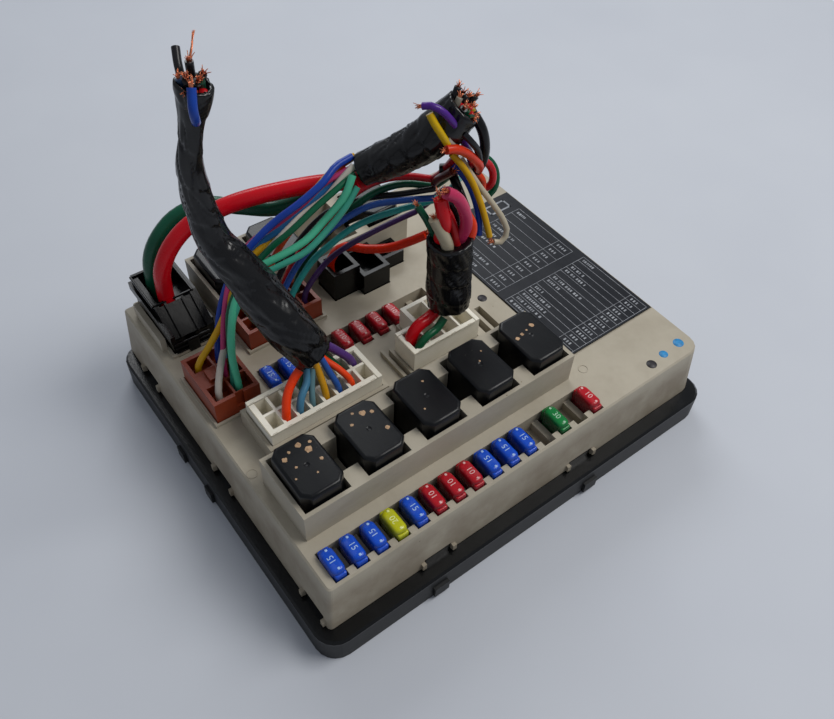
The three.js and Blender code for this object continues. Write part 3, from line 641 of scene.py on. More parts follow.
def tape_radius(radii, length, pitch, seed, lumps, folds=0.35):
    """The surface of a bundle wound with tape: a radius that changes along it, the lumps of the wires
    inside, the low step at each turn's edge, and long folds that run slanting along the bundle."""
    def radius(along, angle):
        place = along * (len(radii) - 1)
        i = min(int(place), len(radii) - 2)
        part = place - i
        size = radii[i] + (radii[i + 1] - radii[i]) * part * part * (3 - 2 * part)
        s = along * length
        x, y = math.cos(angle), math.sin(angle)
        lump = noise.noise(Vector((x * 1.1, y * 1.1, s / 19 + seed))) * lumps
        lump += noise.noise(Vector((x * 2.6, y * 2.6, s / 9 + seed * 2))) * lumps * 0.3
        turn = (s / pitch + angle / (2 * math.pi)) % 1.0
        step = TAPE_EDGE * (1 - turn) if turn > 0.08 else TAPE_EDGE * turn / 0.08
        lean = angle + s / 16
        fold = abs(noise.noise(Vector((math.cos(lean) * 2.4, math.sin(lean) * 2.4, s / 24 + seed * 3))))
        crease = folds * math.exp(-((fold / 0.07) ** 2))
        return (size + lump + step - crease) * MM
    return radius


def close_end(bm, ring, outward):
    """Turns a tube's edge in over a rounded lip and closes it below the lip with a flat disc."""
    middle = sum((v.co for v in ring), Vector()) / len(ring)
    for scale, lift in ((0.93, 0.25), (0.84, 0.1), (0.8, -1.2)):
        inner = [bm.verts.new(middle + (v.co - middle) * scale + outward * (lift * MM)) for v in ring]
        for k in range(len(ring)):
            n = (k + 1) % len(ring)
            bm.faces.new((ring[k], ring[n], inner[n], inner[k])).smooth = True
        ring = inner
    bm.faces.new(ring)


def make_tape(name, route, radii, pitch, seed, lumps, folds, body, stands_for):
    _, length = spline(route, 2)
    count = max(40, round(length / 0.7))
    points = [at(*p) for p in spline(route, count)[0]]
    bm = bmesh.new()
    radius = tape_radius(radii, length, pitch, seed, lumps, folds)
    rings = add_tube(bm, points, radius, sides=64, capped=False)
    close_end(bm, rings[0], (points[0] - points[1]).normalized())
    close_end(bm, rings[-1], (points[-1] - points[-2]).normalized())
    obj = piece(name + "_visual", bm, [TAPE], body)
    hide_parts(stands_for)
    return obj


make_camera()
TAPE = tape_material()
COPPER = copper_material()
for name, (diameter, colour, route) in HARNESS.items():
    body = SMALL if name.startswith(("wire_small", "wire_stub")) else PANEL
    make_wire(name, diameter, colour, route, body, stands_for=name)
for name, (diameter, colour, route) in EXTRA_WIRES.items():
    make_wire(name, diameter, colour, route, PANEL)
make_tape(
    "tape_trunk_left", TRUNK_LEFT, [7.2, 7.8, 7.0, 6.0, 4.9, 4.3, 3.6, 3.2, 4.4],
    13, 3.1, 0.8, 0.5, PANEL, "tape_trunk_left",
)
make_tape(
    "tape_trunk_right", TRUNK_RIGHT, [5.4, 6.2, 6.6, 6.9, 7.0, 6.2], 7, 7.7, 0.55, 0.5, PANEL,
    "tape_trunk_right",
)
make_tape("tape_stub", STUB, [7.2, 7.6, 7.5, 7.3, 7.4], 9, 5.3, 0.6, 0.5, SMALL, "tape_stub")


# ------------------------------------------------------------------ cut ends and loose wires

SHEATHS = {}
GOLDEN_ANGLE = 2.39996


def sheath(colour):
    if colour not in SHEATHS:
        SHEATHS[colour] = insulation("sheath_" + colour[1:], colour)
    return SHEATHS[colour]


def scatter(rng):
    return Vector((rng.uniform(-1, 1), rng.uniform(-1, 1), rng.uniform(-1, 1)))


def add_strands(bm, tip, outward, slot, rng, count=7, reach=2.4, spread=0.5, thickness=0.2):
    """Bare copper strands that fan out of a wire's cut end. Sizes in millimetres."""
    for _ in range(count):
        side = scatter(rng)
        side -= outward * side.dot(outward)
        far = rng.uniform(0.5, 1) * reach
        start = tip + side * (0.3 * MM) - outward * (0.6 * MM)
        middle = tip + side * (0.35 * MM) + outward * (far * 0.5 * MM) + side * (spread * far * 0.25 * MM)
        end = tip + outward * (far * MM * rng.uniform(0.6, 1)) + side * (spread * far * MM)
        taper = lambda along, _: thickness * (1 - 0.55 * along) * MM
        add_tube(bm, [start, start.lerp(middle, 0.5), middle, end], taper, sides=5, slot=slot)


def cut_bundle(name, centre, outward, radius, wires, body, seed):
    """The wires that stick out of a cut bundle: (diameter, colour, how far out) for each, from the middle."""
    rng = random.Random(seed)
    outward = Vector(outward).normalized()
    across = outward.orthogonal().normalized()
    over = outward.cross(across)
    colours = sorted({colour for _, colour, _ in wires})
    bm = bmesh.new()
    for i, (diameter, colour, out) in enumerate(wires):
        turn = i * GOLDEN_ANGLE + seed
        reach = radius * math.sqrt((i + 0.35) / len(wires))
        offset = (across * math.cos(turn) + over * math.sin(turn)) * (reach * MM)
        bend = (across * rng.uniform(-1, 1) + over * rng.uniform(-1, 1)) * (0.35 * max(out, 0) * MM)
        root = at(*centre) + offset - outward * (4.5 * MM)
        neck = at(*centre) + offset * 1.02
        tip = at(*centre) + offset * 1.12 + bend + outward * (out * MM)
        line, _ = spline([root / MM, neck / MM, tip / MM], 12)
        line = [point * MM for point in line]
        add_tube(bm, line, diameter * MM / 2, sides=10, slot=colours.index(colour))
        direction = (line[-1] - line[-2]).normalized()
        add_strands(bm, line[-1], direction, len(colours), rng, 11, 2.4, 0.6)
    return piece(name, bm, [sheath(colour) for colour in colours] + [COPPER], body)


def loose_wires(prefix, wires, body, seed):
    """Loose wires as (name, diameter, colour, points, whether copper shows at the last point)."""
    rng = random.Random(seed)
    bm = bmesh.new()
    for name, diameter, colour, route, bare in wires:
        make_wire(prefix + name, diameter, colour, route, body)
        if bare:
            end = at(*route[-1])
            outward = (end - at(*route[-2])).normalized()
            add_strands(bm, end, outward, 0, rng, 12, 2.8, 0.5)
    piece(prefix + "copper", bm, [COPPER], body)


LEFT_CUT = [
    (2.4, "#1a1a1d", 2.2), (2.6, "#b5161d", 0.6), (2.3, "#17171a", 3.4), (2.2, "#0d3f2d", 2.4),
    (2.6, "#17171a", 1.2),
    (2.2, "#8a3a1b", -0.4), (2.3, "#17171a", 2.6), (2.2, "#16314f", 1.8), (2.4, "#b5161d", -0.8),
    (2.2, "#17171a", 4.4),
    (2.0, "#3a2a1d", 0.2),
]
RIGHT_CUT = [
    (2.8, "#b5161d", 0.8), (2.4, "#b5161d", 1.8), (2.4, "#17171a", 3.2), (2.4, "#0d4a34", 1.2),
    (2.4, "#17171a", 4.6),
    (2.2, "#8a8478", 2.0), (2.6, "#b5161d", 0.6), (2.4, "#17171a", 2.6), (2.4, "#17171a", 1.4),
    (2.2, "#a88a1c", 1.2),
    (2.4, "#17171a", 3.6), (2.4, "#0d4a34", 0.6), (2.4, "#b5161d", 2.4),
]
cut_bundle("trunk_left_cut_wires", (20.3, 79.8, 118.4), (0.05, -0.2, 1), 3.2, LEFT_CUT, PANEL, 4)
cut_bundle("trunk_right_cut_wires", (100.7, 71.7, 87.5), (0.6, -0.3, 0.8), 4.6, RIGHT_CUT, PANEL, 9)


def rising_strands():
    """The few long copper strands that stand up from the left bundle's cut end."""
    rng = random.Random(6)
    bm = bmesh.new()
    for _ in range(6):
        sway = [scatter(rng) * (0.35 * MM) for _ in range(4)]
        route = [(20.4, 81.4, 117.5), (20.8, 82.7, 121), (23.4, 85, 124.6), (25.8, 87.4, 127.4)]
        line = [at(*point) + shift * scale for point, shift, scale in zip(route, sway, (0.5, 1, 1.2, 1.6))]
        dense, _ = spline([point / MM for point in line], 14)
        add_tube(bm, [point * MM for point in dense], lambda along, _: 0.2 * (1 - 0.6 * along) * MM, sides=6)
    piece("rising_copper", bm, [COPPER], PANEL)


def fray_ends(name, ends, body):
    """Copper at the last point of some of the harness wires."""
    rng = random.Random(17)
    bm = bmesh.new()
    for wire in ends:
        diameter, _, route = HARNESS[wire]
        tip = at(*route[-1])
        outward = (tip - at(*route[-2])).normalized()
        for _ in range(4):
            shift = scatter(rng) * (0.22 * diameter * MM)
            add_strands(bm, tip + shift, outward, 0, rng, 7, 0.8 * diameter, 0.5)
    piece(name, bm, [COPPER], body)


fray_ends("harness_copper", ["wire_centre_orange"], PANEL)
fray_ends("stub_wire_copper", ["wire_stub_red", "wire_stub_pink"], SMALL)
rising_strands()
loose_wires("loose_left_", [
    ("blue", 2.4, "#123f9c", [
        (17.9, 76.6, 111), (17, 74.6, 113.5), (16.8, 74.2, 116.5), (18.2, 76.2, 120.5)], True),
    ("tail", 2.2, "#202024", [
        (19.5, 82.5, 114), (19.4, 84.2, 118), (20, 86.5, 121), (21.4, 89.6, 123.6)], False),
], PANEL, 2)

CLUSTER = [
    ("purple", 2.3, "#4d2482", [
        (106, 72, 66), (104, 70.5, 71), (100.9, 69.4, 75.2), (97.1, 68.6, 82.1), (93.5, 68.8, 87.7),
        (90.8, 70.3, 91),
        (88.5, 72.3, 92.3), (86.9, 74.3, 91.7)], True),
    ("yellow_up", 2.4, "#cfa806", [
        (92.6, 68.2, 79.6), (90.3, 69, 83.8), (88.5, 70.4, 87.6), (87.9, 72, 90)], False),
    ("white_up", 2.2, "#a89f92", [(96.8, 68.4, 75.4), (94.6, 68.2, 78.4), (92.4, 68.6, 81.2)], False),
    ("red_orange", 3, "#cf3310", [
        (107, 68.5, 64), (105.4, 66.8, 67.4), (102.3, 66.3, 71.4), (98.7, 66.2, 75.2), (94.3, 66.4, 78.2),
        (91, 66.8, 79)], True),
    ("yellow_down", 2.2, "#c79a08", [
        (95.1, 69, 74.6), (97.3, 66.6, 71.2), (99.7, 63.6, 65.8), (101.1, 60.3, 59.4), (101.9, 57.4, 53),
        (102.6, 55.2, 47)], True),
    ("blue", 2.3, "#173e9e", [
        (98.6, 72, 67), (100.2, 69.4, 65), (101.2, 66.4, 62), (101.5, 62.7, 57.4), (101.3, 59.8, 51.8),
        (100.6, 58.2, 46.6)], False),
    ("cream", 2, "#b3a993", [
        (100, 70, 70.5), (101.2, 67.1, 67), (102.9, 62.9, 62.4), (105.4, 58.9, 57.3), (108, 55.4, 51.5),
        (108.6, 53.3, 47), (106.1, 53, 44.4), (103.6, 54, 45)], True),
    ("red_loop", 2.6, "#b5121b", [
        (105, 71, 65), (108.6, 70, 65.3), (111.9, 70, 63.6), (113.6, 68.6, 60), (113, 68, 55.8),
        (111, 69.6, 53.3)], False),
    ("orange_loop", 2.6, "#cf3a10", [
        (104.4, 71.6, 62), (107.6, 70.4, 61), (109.6, 69, 58), (109.4, 68.4, 54.4)], False),
    ("green_loop", 2.2, "#0d5236", [
        (111.5, 75.5, 63.5), (114.8, 74, 62.3), (117, 71.8, 59.3), (117, 69.8, 56), (115.8, 68.8, 52.5),
        (113.8, 69.4, 49.6)], False),
    ("green_tail", 2.2, "#0d5236", [
        (108.5, 77, 60), (110.5, 75, 58), (112, 73, 54), (112, 72, 49.5)], False),
    ("black_a", 3.4, "#0b0b0d", [
        (104.2, 69.6, 84.2), (105.6, 67.6, 80.4), (106.8, 66.8, 75), (107.6, 67.6, 68.6),
        (107.6, 69.8, 62.4)], False),
    ("black_b", 2.2, "#15151a", [
        (97.8, 67.4, 82), (100, 66, 79), (102.8, 65.7, 75), (105.4, 66.8, 69.6)], False),
    ("black_c", 3.2, "#0b0b0d", [
        (102.6, 78, 62), (101.2, 74, 60), (99.8, 69, 57.8), (98.9, 64, 54.4)], False),
    ("black_d", 3.6, "#0d0d10", [
        (107.4, 70.5, 63.5), (104.6, 72.4, 63.2), (101.2, 74.6, 63), (98.2, 77.6, 62.2)], False),
    ("red_end", 2.6, "#a80f17", [
        (99, 82, 55), (99.3, 79, 58.6), (99.2, 75.4, 64), (98.7, 71.2, 70.4)], True),
    ("green_end", 2.4, "#0d4f36", [
        (100.5, 82.5, 51), (102.2, 80, 54.4), (103, 77.2, 58.6), (102.8, 74.4, 63)], False),
    ("brown_end", 2.8, "#4d1710", [
        (98.6, 80.4, 54.4), (97.6, 77.6, 58.2), (97, 74, 62.2), (97.4, 70.4, 66)], True),
    ("mint_end", 2.2, "#2f9893", [
        (101.5, 83.5, 44), (104, 81.2, 46.8), (105.4, 78.6, 51.4), (105.6, 76, 56)], False),
    ("purple_end", 2, "#3a2250", [
        (99, 90.5, 35), (101.6, 88.6, 38), (103.6, 85.6, 43), (104.6, 82, 48.6)], False),
]
loose_wires("cluster_", CLUSTER, PANEL, 12)

STUB_TOPS = [
    ("cream", 4.2, "#b0a58c", [
        (85.8, 56.4, 48.5), (84, 55.4, 53.5), (82, 55.8, 58.5), (80.4, 57.8, 63.5)], True),
    ("brown", 2.8, "#4a2214", [(86.6, 58, 49), (87.6, 59.4, 54), (87.6, 61.2, 59), (86.6, 63.4, 64)], True),
    ("orange", 3, "#d8360f", [
        (92, 55, 49), (93.8, 54.6, 52.6), (94.4, 55.4, 56), (93.4, 57.4, 59.6)], True),
    ("green", 2.4, "#0d4f36", [
        (85.4, 60.6, 49), (83.6, 62.4, 54), (82, 64, 58.6), (80.6, 66.6, 62.4)], True),
    ("black", 3, "#0d0d10", [
        (90.8, 59.5, 49), (91.8, 60.2, 53.5), (91.8, 61.2, 58), (90.8, 62.4, 62)], False),
    ("scarlet", 2.8, "#b5121b", [(88.6, 55, 49), (88.2, 56.4, 55), (87, 58.6, 61), (84.8, 60.6, 66)], True),
]
loose_wires("stub_", STUB_TOPS, SMALL, 21)

# ------------------------------------------------------------------ lights and floor

scene = bpy.context.scene
scene.view_settings.view_transform = "Standard"
world = bpy.data.worlds.new("studio")
world.use_nodes = True
world.node_tree.nodes["Background"].inputs["Color"].default_value = (0.86, 0.91, 1.0, 1)
world.node_tree.nodes["Background"].inputs["Strength"].default_value = 0.31
scene.world = world
make_light("key_softbox", at(560, -260, 820), at(80, 70, 0), (0.6, 0.45), 6.0, (1, 0.985, 0.96))
make_light("back_softbox", at(380, 760, 640), at(80, 70, 0), (0.5, 0.35), 3.0, (0.96, 0.98, 1))


def make_floor():
    bm = bmesh.new()
    bmesh.ops.create_grid(bm, x_segments=24, y_segments=24, size=2.5)
    for v in bm.verts:
        v.co.z = cad_low[2] - 0.0002
    mesh = bpy.data.meshes.new("floor")
    bm.to_mesh(mesh)
    bm.free()
    mesh.materials.append(floor_material())
    floor = bpy.data.objects.new("floor", mesh)
    scene.collection.objects.link(floor)


make_floor()

# ------------------------------------------------------------------ plastic parts from the CAD

WHITE = moulded("white_nylon", "#efeadb", "#e2dccb", "#8c7556", (0.36, 0.48), grime=0.1)
BROWN = moulded("brown_plastic", "#8a3518", "#752a12", "#2c120a", (0.34, 0.5), grime=0.25)
plate_z = CORNER.z
# Ivory plastic: below the plate a patchy brown that is partly grime and partly painted shade in the recesses.
IVORY = moulded(
    "ivory_plastic", "#aea695", "#a49c8b", "#5e4b34", (0.46, 0.62),
    shade_and_stain_below=(plate_z - 0.0085, plate_z - 0.002), grime=0.2,
)
COVER_HEIGHT = 11.3
COVER = cover_material(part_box("lower_cover")[0][2] + COVER_HEIGHT * MM)
BLACK = black_material("black_connector", "#020203", "#3b3731", 0.04, (0.2, 0.32), 0.22)
RELAY = black_material("relay_plastic", "#05070b", "#59564f", 0.04, (0.26, 0.38), 0.3)
LABEL = black_material("label_plate", "#11141b", "#5a5c60", 0.1, (0.36, 0.5), 0.3)
BOARD = board_material()
METAL = metal_material()
PRINT = printed_material()

CAD_MATERIALS = {
    "upper_housing": IVORY,
    "lower_cover": COVER,
    "circuit_board": BOARD,
    "label_plate": LABEL,
    "connector_white_large": WHITE,
    "connector_white_small": WHITE,
    "connector_brown_front": BROWN,
    "connector_brown_rear": BROWN,
    "connector_black_centre": BLACK,
    "connector_power": BLACK,
}


def finish_cad_node(name, material, bevel=0.25):
    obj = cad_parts[name]
    obj.data.materials.clear()
    obj.data.materials.append(material)
    if bevel:
        rounding = obj.modifiers.new("rounded_edges", "BEVEL")
        rounding.width = bevel * MM
        rounding.segments = 2
        rounding.limit_method = "ANGLE"
        rounding.angle_limit = math.radians(40)
        rounding.harden_normals = True


for name, material in CAD_MATERIALS.items():
    finish_cad_node(name, material)

# ------------------------------------------------------------------ small mouldings on the plugs

def add_slanted_rib(bm, x0, x1, front, back, low, high, rise):
    """A rib on the power plug's sloping front, from (front, low) up to (back, high). Millimetres."""
    corners = [(x, y, z) for x in (x0, x1) for y, z in (
        (front, low), (back, high), (back, high + rise), (front, low + rise))]
    verts = [bm.verts.new(at(*corner)) for corner in corners]
    for face in ((0, 1, 2, 3), (7, 6, 5, 4), (0, 4, 5, 1), (1, 5, 6, 2), (2, 6, 7, 3), (3, 7, 4, 0)):
        bm.faces.new([verts[k] for k in face])


def make_power_plug_details():
    bm = bmesh.new()
    for x in (6.6, 10.2, 16.6, 20.2):
        add_slanted_rib(bm, x, x + 0.8, 108.3, 118.9, 7.6, 15.8, 0.6)
    for z in (-0.5, 1.6, 3.7, 5.8):
        add_box(bm, at(7, 107.55, z), at(20.6, 108.1, z + 0.7), bevel=0.15 * MM, segments=2)
    add_box(bm, at(11.6, 107.1, 0.4), at(16, 108.2, 6.6), bevel=0.5 * MM, segments=3)
    for x in (5.75, 20.95):
        add_box(bm, at(x, 119.2, 15.8), at(x + 0.9, 137.8, 16.7), bevel=0.25 * MM, segments=2)
    for y in (119.2, 137.0):
        add_box(bm, at(6.7, y, 15.8), at(20.9, y + 0.8, 16.7), bevel=0.25 * MM, segments=2)
    piece("power_plug_ribs", bm, [BLACK], PANEL)


def plug_grooves(name, x0, x1, y0, y1, top, columns, inset, body):
    """Painted shade: thin darker strips for the shade in the seam along a white plug's rim and in the small
    ticks between its cavities.
    """
    bm = bmesh.new()
    for y in (y0 + inset, y1 - inset):
        add_box(bm, at(x0 + 0.6, y - 0.16, top - 0.05), at(x1 - 0.6, y + 0.16, top + 0.03))
        for i in range(columns):
            x = x0 + (x1 - x0) * (i + 0.5) / columns
            add_box(bm, at(x - 0.9, y + 0.35, top - 0.05), at(x + 0.9, y + 0.5, top + 0.03))
    for x in (x0 + inset, x1 - inset):
        add_box(bm, at(x - 0.16, y0 + inset, top - 0.05), at(x + 0.16, y1 - inset, top + 0.03))
    piece(name, bm, [SEAM], body)


SEAM = paint_material("shadowed_seam", "#a79f8c", "#8b826f")
make_power_plug_details()
plug_grooves("white_large_seam", 11.7, 54.8, 49.6, 66.2, 12, 8, 0.9, PANEL)
plug_grooves("white_small_seam", 69.5, 98.6, 50.8, 62.5, 12, 4, 0.7, SMALL)

# ------------------------------------------------------------------ relays

RELAY_TOP = 18.0
RELAY_HALF = (7.7, 10.9)
RELAY_CORNER = 2.7
RELAY_BLADES = [(0, -8, True), (0, 8, True), (-4.4, 0, False), (4.4, 0, False)]
FLECK = paint_material("tan_paint", "#c9a57f", "#8f6f50")


def octagon(inset, per_edge=3):
    """Points of the relay's outline, pulled in by an inset, with extra points along each edge."""
    half_x, half_y = RELAY_HALF[0] - inset, RELAY_HALF[1] - inset
    cut = RELAY_CORNER - 0.586 * inset
    corners = [
        (half_x, cut - half_y), (half_x, half_y - cut), (half_x - cut, half_y), (cut - half_x, half_y),
        (-half_x, half_y - cut), (-half_x, cut - half_y), (cut - half_x, -half_y), (half_x - cut, -half_y),
    ]
    points = []
    for (x0, y0), (x1, y1) in zip(corners, corners[1:] + corners[:1]):
        points += [(x0 + (x1 - x0) * k / per_edge, y0 + (y1 - y0) * k / per_edge) for k in range(per_edge)]
    return points


def add_fleck(bm, place, size, slot, rng):
    """A thin fleck of dried paint with an uneven edge, lying on a level face. Metres."""
    rim = []
    for k in range(11):
        angle = 2 * math.pi * k / 11
        reach = size * rng.uniform(0.72, 1.12) * MM
        rim.append(bm.verts.new(place + Vector((reach * math.cos(angle), reach * math.sin(angle), 0))))
    crown = bm.verts.new(place + Vector((0, 0, 0.09 * MM)))
    for k in range(11):
        face = bm.faces.new((rim[k], rim[(k + 1) % 11], crown))
        face.material_index = slot
        face.smooth = True


RELAY_FLECKS = {
    "relay_front_1": [(-4.6, 5.2, 0.9), (-2.2, 6.8, 0.6), (1.6, 7.6, 1.1), (3.4, 4.4, 1.3), (5.2, 6.6, 0.6),
                      (-3.2, 1.0, 0.5), (4.8, -0.6, 0.7), (1.2, -4.2, 0.4), (-5.4, -2.6, 0.4)],
    "relay_front_2": [
        (1.8, 6.2, 1.1), (4.6, 5.0, 0.7), (-3.6, 4.2, 0.6), (-1.0, 7.8, 0.5), (5.0, -3.0, 0.8)],
    "relay_front_3": [(2.4, 5.4, 0.45), (-3.8, -4.0, 0.35)],
    "relay_front_4": [(0.6, 1.2, 0.4), (3.8, 4.4, 0.35)],
    "relay_front_5": [(-5.0, 1.4, 0.8), (-2.4, 2.0, 0.7), (0.2, 2.6, 0.4), (3.2, 3.4, 1.0)],
}


def make_relay(node):
    low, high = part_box(node)
    middle = Vector(((low[0] + high[0]) / 2, (low[1] + high[1]) / 2, high[2] - RELAY_TOP * MM))
    rng = random.Random(sum(map(ord, node)))
    bm = bmesh.new()
    levels = [(0.15, -7.3), (0, -7.0), (0, 16.95), (0.08, 17.35), (0.35, 17.75), (0.8, 17.97), (1.2, 18.0)]
    rings = [[(x, y, z) for x, y in octagon(inset)] for inset, z in levels]
    for reach, z in ((0.95, 18.0), (0.8, 17.9), (0.5, 17.8), (0.2, 17.78)):
        circle = []
        for x, y, _ in rings[len(levels) - 1]:
            angle = math.atan2(y, x)
            circle.append((reach * math.cos(angle), reach * math.sin(angle), z))
        rings.append(circle)
    made = [[bm.verts.new(middle + Vector(p) * MM) for p in ring] for ring in rings]
    for index, (inner, outer) in enumerate(zip(made, made[1:])):
        for k in range(len(inner)):
            n = (k + 1) % len(inner)
            face = bm.faces.new((inner[k], inner[n], outer[n], outer[k]))
            face.smooth = index >= 2 and index != len(levels) - 1
    bm.faces.new(list(reversed(made[0])))
    bm.faces.new(made[-1])
    for x, y, along_x in RELAY_BLADES:
        half_x, half_y = (2.4, 0.4) if along_x else (0.4, 2.4)
        add_box(
            bm, middle + Vector((x - half_x, y - half_y, -17.4)) * MM,
            middle + Vector((x + half_x, y + half_y, -7.1)) * MM, 1, 0.12 * MM, 1,
        )
    for x, y, size in RELAY_FLECKS.get(node, []):
        add_fleck(bm, middle + Vector((x, y, RELAY_TOP + 0.01)) * MM, size, 2, rng)
    obj = piece(node + "_visual", bm, [RELAY, METAL, FLECK], node)
    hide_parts(node)


for name in sorted(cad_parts):
    if name.startswith("relay_"):
        make_relay(name)

# ------------------------------------------------------------------ fuses

FUSE_TOP = 2.3


def fuse_look(colour, rating, plastic, side_shade, ink_and_glint, worn_ink):
    """A fuse colour's digits and the materials of its plastic and of its print, which also colours the pale
    pads of painted highlight.
    """
    return (
        rating,
        fuse_material("fuse_" + colour, plastic, side_shade),
        paint_material("digits_" + colour, ink_and_glint, worn_ink),
    )


# Each look: digits, top colour, darker side colour for the painted shade, ink colour and worn ink colour.
FUSE_LOOKS = {
    "red": fuse_look("red", "10", "#b00c1c", "#72091a", "#e8c0bc", "#cf9694"),
    "blue": fuse_look("blue", "15", "#0a4cc4", "#083694", "#b9d2f2", "#7fa6dd"),
    "yellow": fuse_look("yellow", "20", "#bcbc0c", "#7d8206", "#eef2b4", "#d3dc6a"),
    "green": fuse_look("green", "30", "#087a38", "#04431e", "#b9dcc2", "#79b08a"),
}
FLIPPED = {
    "fuse_front_01_blue", "fuse_front_03_blue", "fuse_front_04_yellow", "fuse_front_06_red",
    "fuse_front_07_red", "fuse_front_09_blue", "fuse_front_10_blue",
}


def text_mesh(words, size):
    """Digits as a flat mesh about their own middle."""
    data = bpy.data.curves.new("digits", "FONT")
    data.body = words
    data.size = size
    data.align_x = "CENTER"
    data.align_y = "CENTER"
    data.extrude = 0.00003
    data.resolution_u = 3
    obj = bpy.data.objects.new("digits", data)
    scene.collection.objects.link(obj)
    bpy.context.view_layer.update()
    mesh = bpy.data.meshes.new_from_object(obj.evaluated_get(bpy.context.evaluated_depsgraph_get()))
    bpy.data.objects.remove(obj)
    bpy.data.curves.remove(data)
    return mesh


def crowned_block(bm, middle, half_x, half_y, corner, levels, slot=0):
    """A block with rounded corners through (inset, height) levels, closed at both ends. Millimetres."""
    rings = []
    for inset, z in levels:
        ring = []
        radius = max(corner - inset * 0.5, 0.2)
        reach_x, reach_y = half_x - inset - radius, half_y - inset - radius
        for quarter, (sx, sy) in enumerate(((1, 1), (-1, 1), (-1, -1), (1, -1))):
            for k in range(5):
                angle = math.pi / 2 * (quarter + k / 4)
                x = sx * reach_x + radius * math.cos(angle)
                y = sy * reach_y + radius * math.sin(angle)
                ring.append(bm.verts.new(middle + Vector((x, y, z)) * MM))
        rings.append(ring)
    for low_ring, high_ring in zip(rings, rings[1:]):
        for k in range(len(low_ring)):
            n = (k + 1) % len(low_ring)
            face = bm.faces.new((low_ring[k], low_ring[n], high_ring[n], high_ring[k]))
            face.smooth = True
            face.material_index = slot
    for ring in (list(reversed(rings[0])), rings[-1]):
        bm.faces.new(ring).material_index = slot


def make_fuse(node):
    colour = node.rsplit("_", 1)[1]
    rating, plastic, ink_and_glint = FUSE_LOOKS[colour]
    low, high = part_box(node)
    middle = Vector(((low[0] + high[0]) / 2, (low[1] + high[1]) / 2, high[2] - FUSE_TOP * MM))
    corner = lambda x, y, z: middle + Vector((x, y, z)) * MM
    bm = bmesh.new()
    crown = [(0, -7.2), (0, 1.5), (0.14, 2.15), (0.45, 2.6), (0.9, 2.86), (1.4, 2.92)]
    crowned_block(bm, middle, 2.4, 4.7, 1.7, crown)
    crowned_block(bm, middle, 2.0, 5.45, 0.7, [(0, -7.3), (0, 1.0), (0.2, 1.35), (0.5, 1.45)])
    for side in (-1, 1):
        blade = side * 3.95
        add_box(bm, corner(-0.4, blade - 1.4, -14.5), corner(0.4, blade + 1.4, -7), 1, 0.1 * MM, 1)
        # Painted highlight: a small pale pad in the ink colour at each end stands for the glint of metal in
        # the test-point hole.
        crowned_block(bm, corner(0.2, side * 3.5, 0), 0.42, 0.42, 0.3, [(0, 2.5), (0, 2.93), (0.12, 2.98)], 2)
    digits = text_mesh(rating, 2.9 * MM)
    turn = math.radians(90 if node in FLIPPED else -90)
    digits.transform(Matrix.Translation(corner(0, 0, 2.93)) @ Matrix.Rotation(turn, 4, "Z"))
    start = len(bm.faces)
    bm.from_mesh(digits)
    bm.faces.ensure_lookup_table()
    for f in bm.faces[start:]:
        f.material_index = 2
    bpy.data.meshes.remove(digits)
    obj = piece(node + "_visual", bm, [plastic, METAL, ink_and_glint], node)
    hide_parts(node)


for name in sorted(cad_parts):
    if name.startswith("fuse_"):
        make_fuse(name)

# ------------------------------------------------------------------ label print, paint dots and mould marks

LABEL_FACE = 0.5
INK = 0.05


def print_bar(bm, x0, x1, y0, y1):
    add_box(bm, at(x0, y0, LABEL_FACE - 0.02), at(x1, y1, LABEL_FACE + INK))


def print_table(bm, x0, x1, y0, y1, columns, divider, rng):
    """A ruled table whose lines run along Y, with rows of small marks that stand for its words."""
    line = 0.17
    pitch = (x1 - x0) / columns
    for i in range(columns + 1):
        x = x0 + i * pitch
        print_bar(bm, x - line / 2, x + line / 2, y0, y1)
    for y in (y0, divider, y1):
        print_bar(bm, x0, x1, y - line / 2, y + line / 2)
    for i in range(columns):
        x = x0 + (i + 0.5) * pitch
        half = min(0.62, pitch * 0.26)
        y = divider - 1.2
        for _ in range(rng.choice((3, 3, 4))):
            print_bar(bm, x - half, x + half, y - 1.0, y - 0.35)
            y -= 1.35
        if rng.random() < 0.25:
            continue
        y = y1 - 1.4
        for _ in range(rng.randint(4, 13)):
            width = rng.choice((0.45, 0.7, 0.9))
            print_bar(bm, x - half * rng.uniform(0.75, 1), x + half, y - width, y)
            y -= width + rng.choice((0.4, 0.45, 1.1))
            if y < divider + 2:
                break


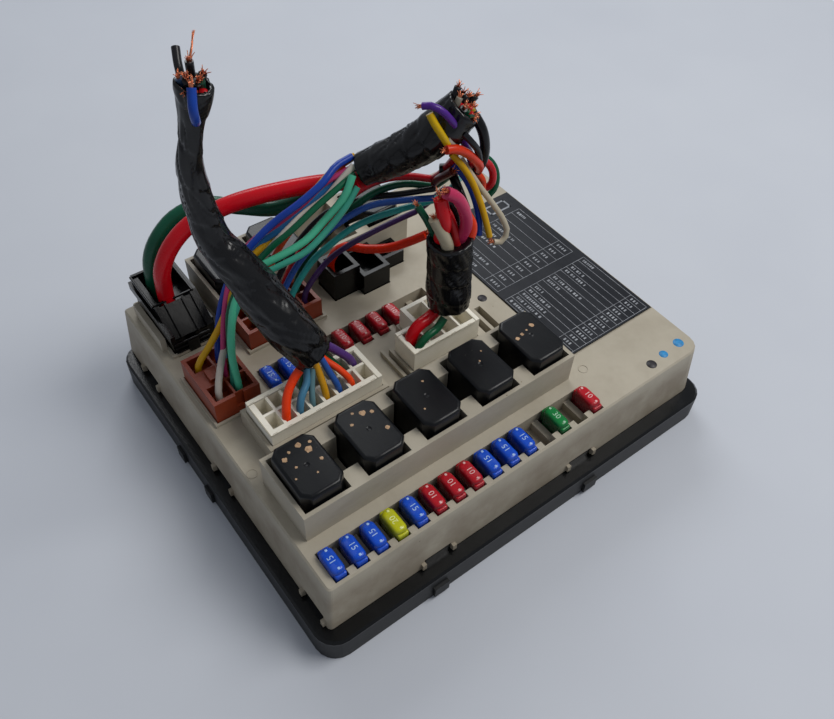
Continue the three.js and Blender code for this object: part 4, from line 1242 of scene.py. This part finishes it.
# The four bars of the open rectangle at the label's far end.
EMPTY_FRAME = [
    (150, 161, 107.2, 108), (150, 161, 102.6, 103.4), (160.2, 161, 102.6, 108), (150, 150.8, 102.6, 108),
]


def make_label_print():
    rng = random.Random(5)
    bm = bmesh.new()
    print_table(bm, 121.8, 164.2, 26.8, 61.4, 13, 35, rng)
    print_table(bm, 122.4, 162.8, 66.4, 99.4, 9, 74.6, rng)
    for bar in EMPTY_FRAME:
        print_bar(bm, *bar)
    piece("label_print", bm, [PRINT], PANEL)


def add_disc(bm, x, y, z, radius, thickness, slot=0, hole=0.0):
    """A flat disc, or a ring with a hole, on the plate. Millimetres."""
    count = 28
    rings = []
    for reach, height in ((radius, z - 0.05), (radius * 0.97, z + thickness), (hole, z + thickness)):
        if reach == 0:
            rings.append([bm.verts.new(at(x, y, height))])
            continue
        ring = []
        for k in range(count):
            angle = 2 * math.pi * k / count
            ring.append(bm.verts.new(at(x + reach * math.cos(angle), y + reach * math.sin(angle), height)))
        rings.append(ring)
    if hole:
        rings.append([bm.verts.new(v.co - Vector((0, 0, thickness * MM))) for v in rings[-1]])
    for outer, inner in zip(rings, rings[1:]):
        for k in range(count):
            n = (k + 1) % count
            if len(inner) == 1:
                face = bm.faces.new((outer[k], outer[n], inner[0]))
            else:
                face = bm.faces.new((outer[k], outer[n], inner[n], inner[k]))
            face.material_index = slot
            face.smooth = True


def make_marks():
    bm = bmesh.new()
    add_disc(bm, 160.7, 7.3, 0, 2.1, 0.06, 0)
    add_disc(bm, 151.9, 6.7, 0, 1.75, 0.06, 0)
    add_disc(bm, 144.6, 5.9, 0, 2.0, 0.06, 1)
    add_disc(bm, 115.5, 67.6, 0, 1.9, 0.06, 1)
    for x, y in ((3.5, 49.5), (122.4, 18.9), (59.5, 70.5), (112.5, 88)):
        add_disc(bm, x, y, 0, 1.9, 0.16, 2, hole=1.6)
    piece("paint_dots", bm, [
        paint_material("blue_paint", "#2f93cf", "#1d6ea3"),
        paint_material("black_paint", "#1b171b", "#2b262b"),
        IVORY,
    ], PANEL)


make_label_print()
make_marks()
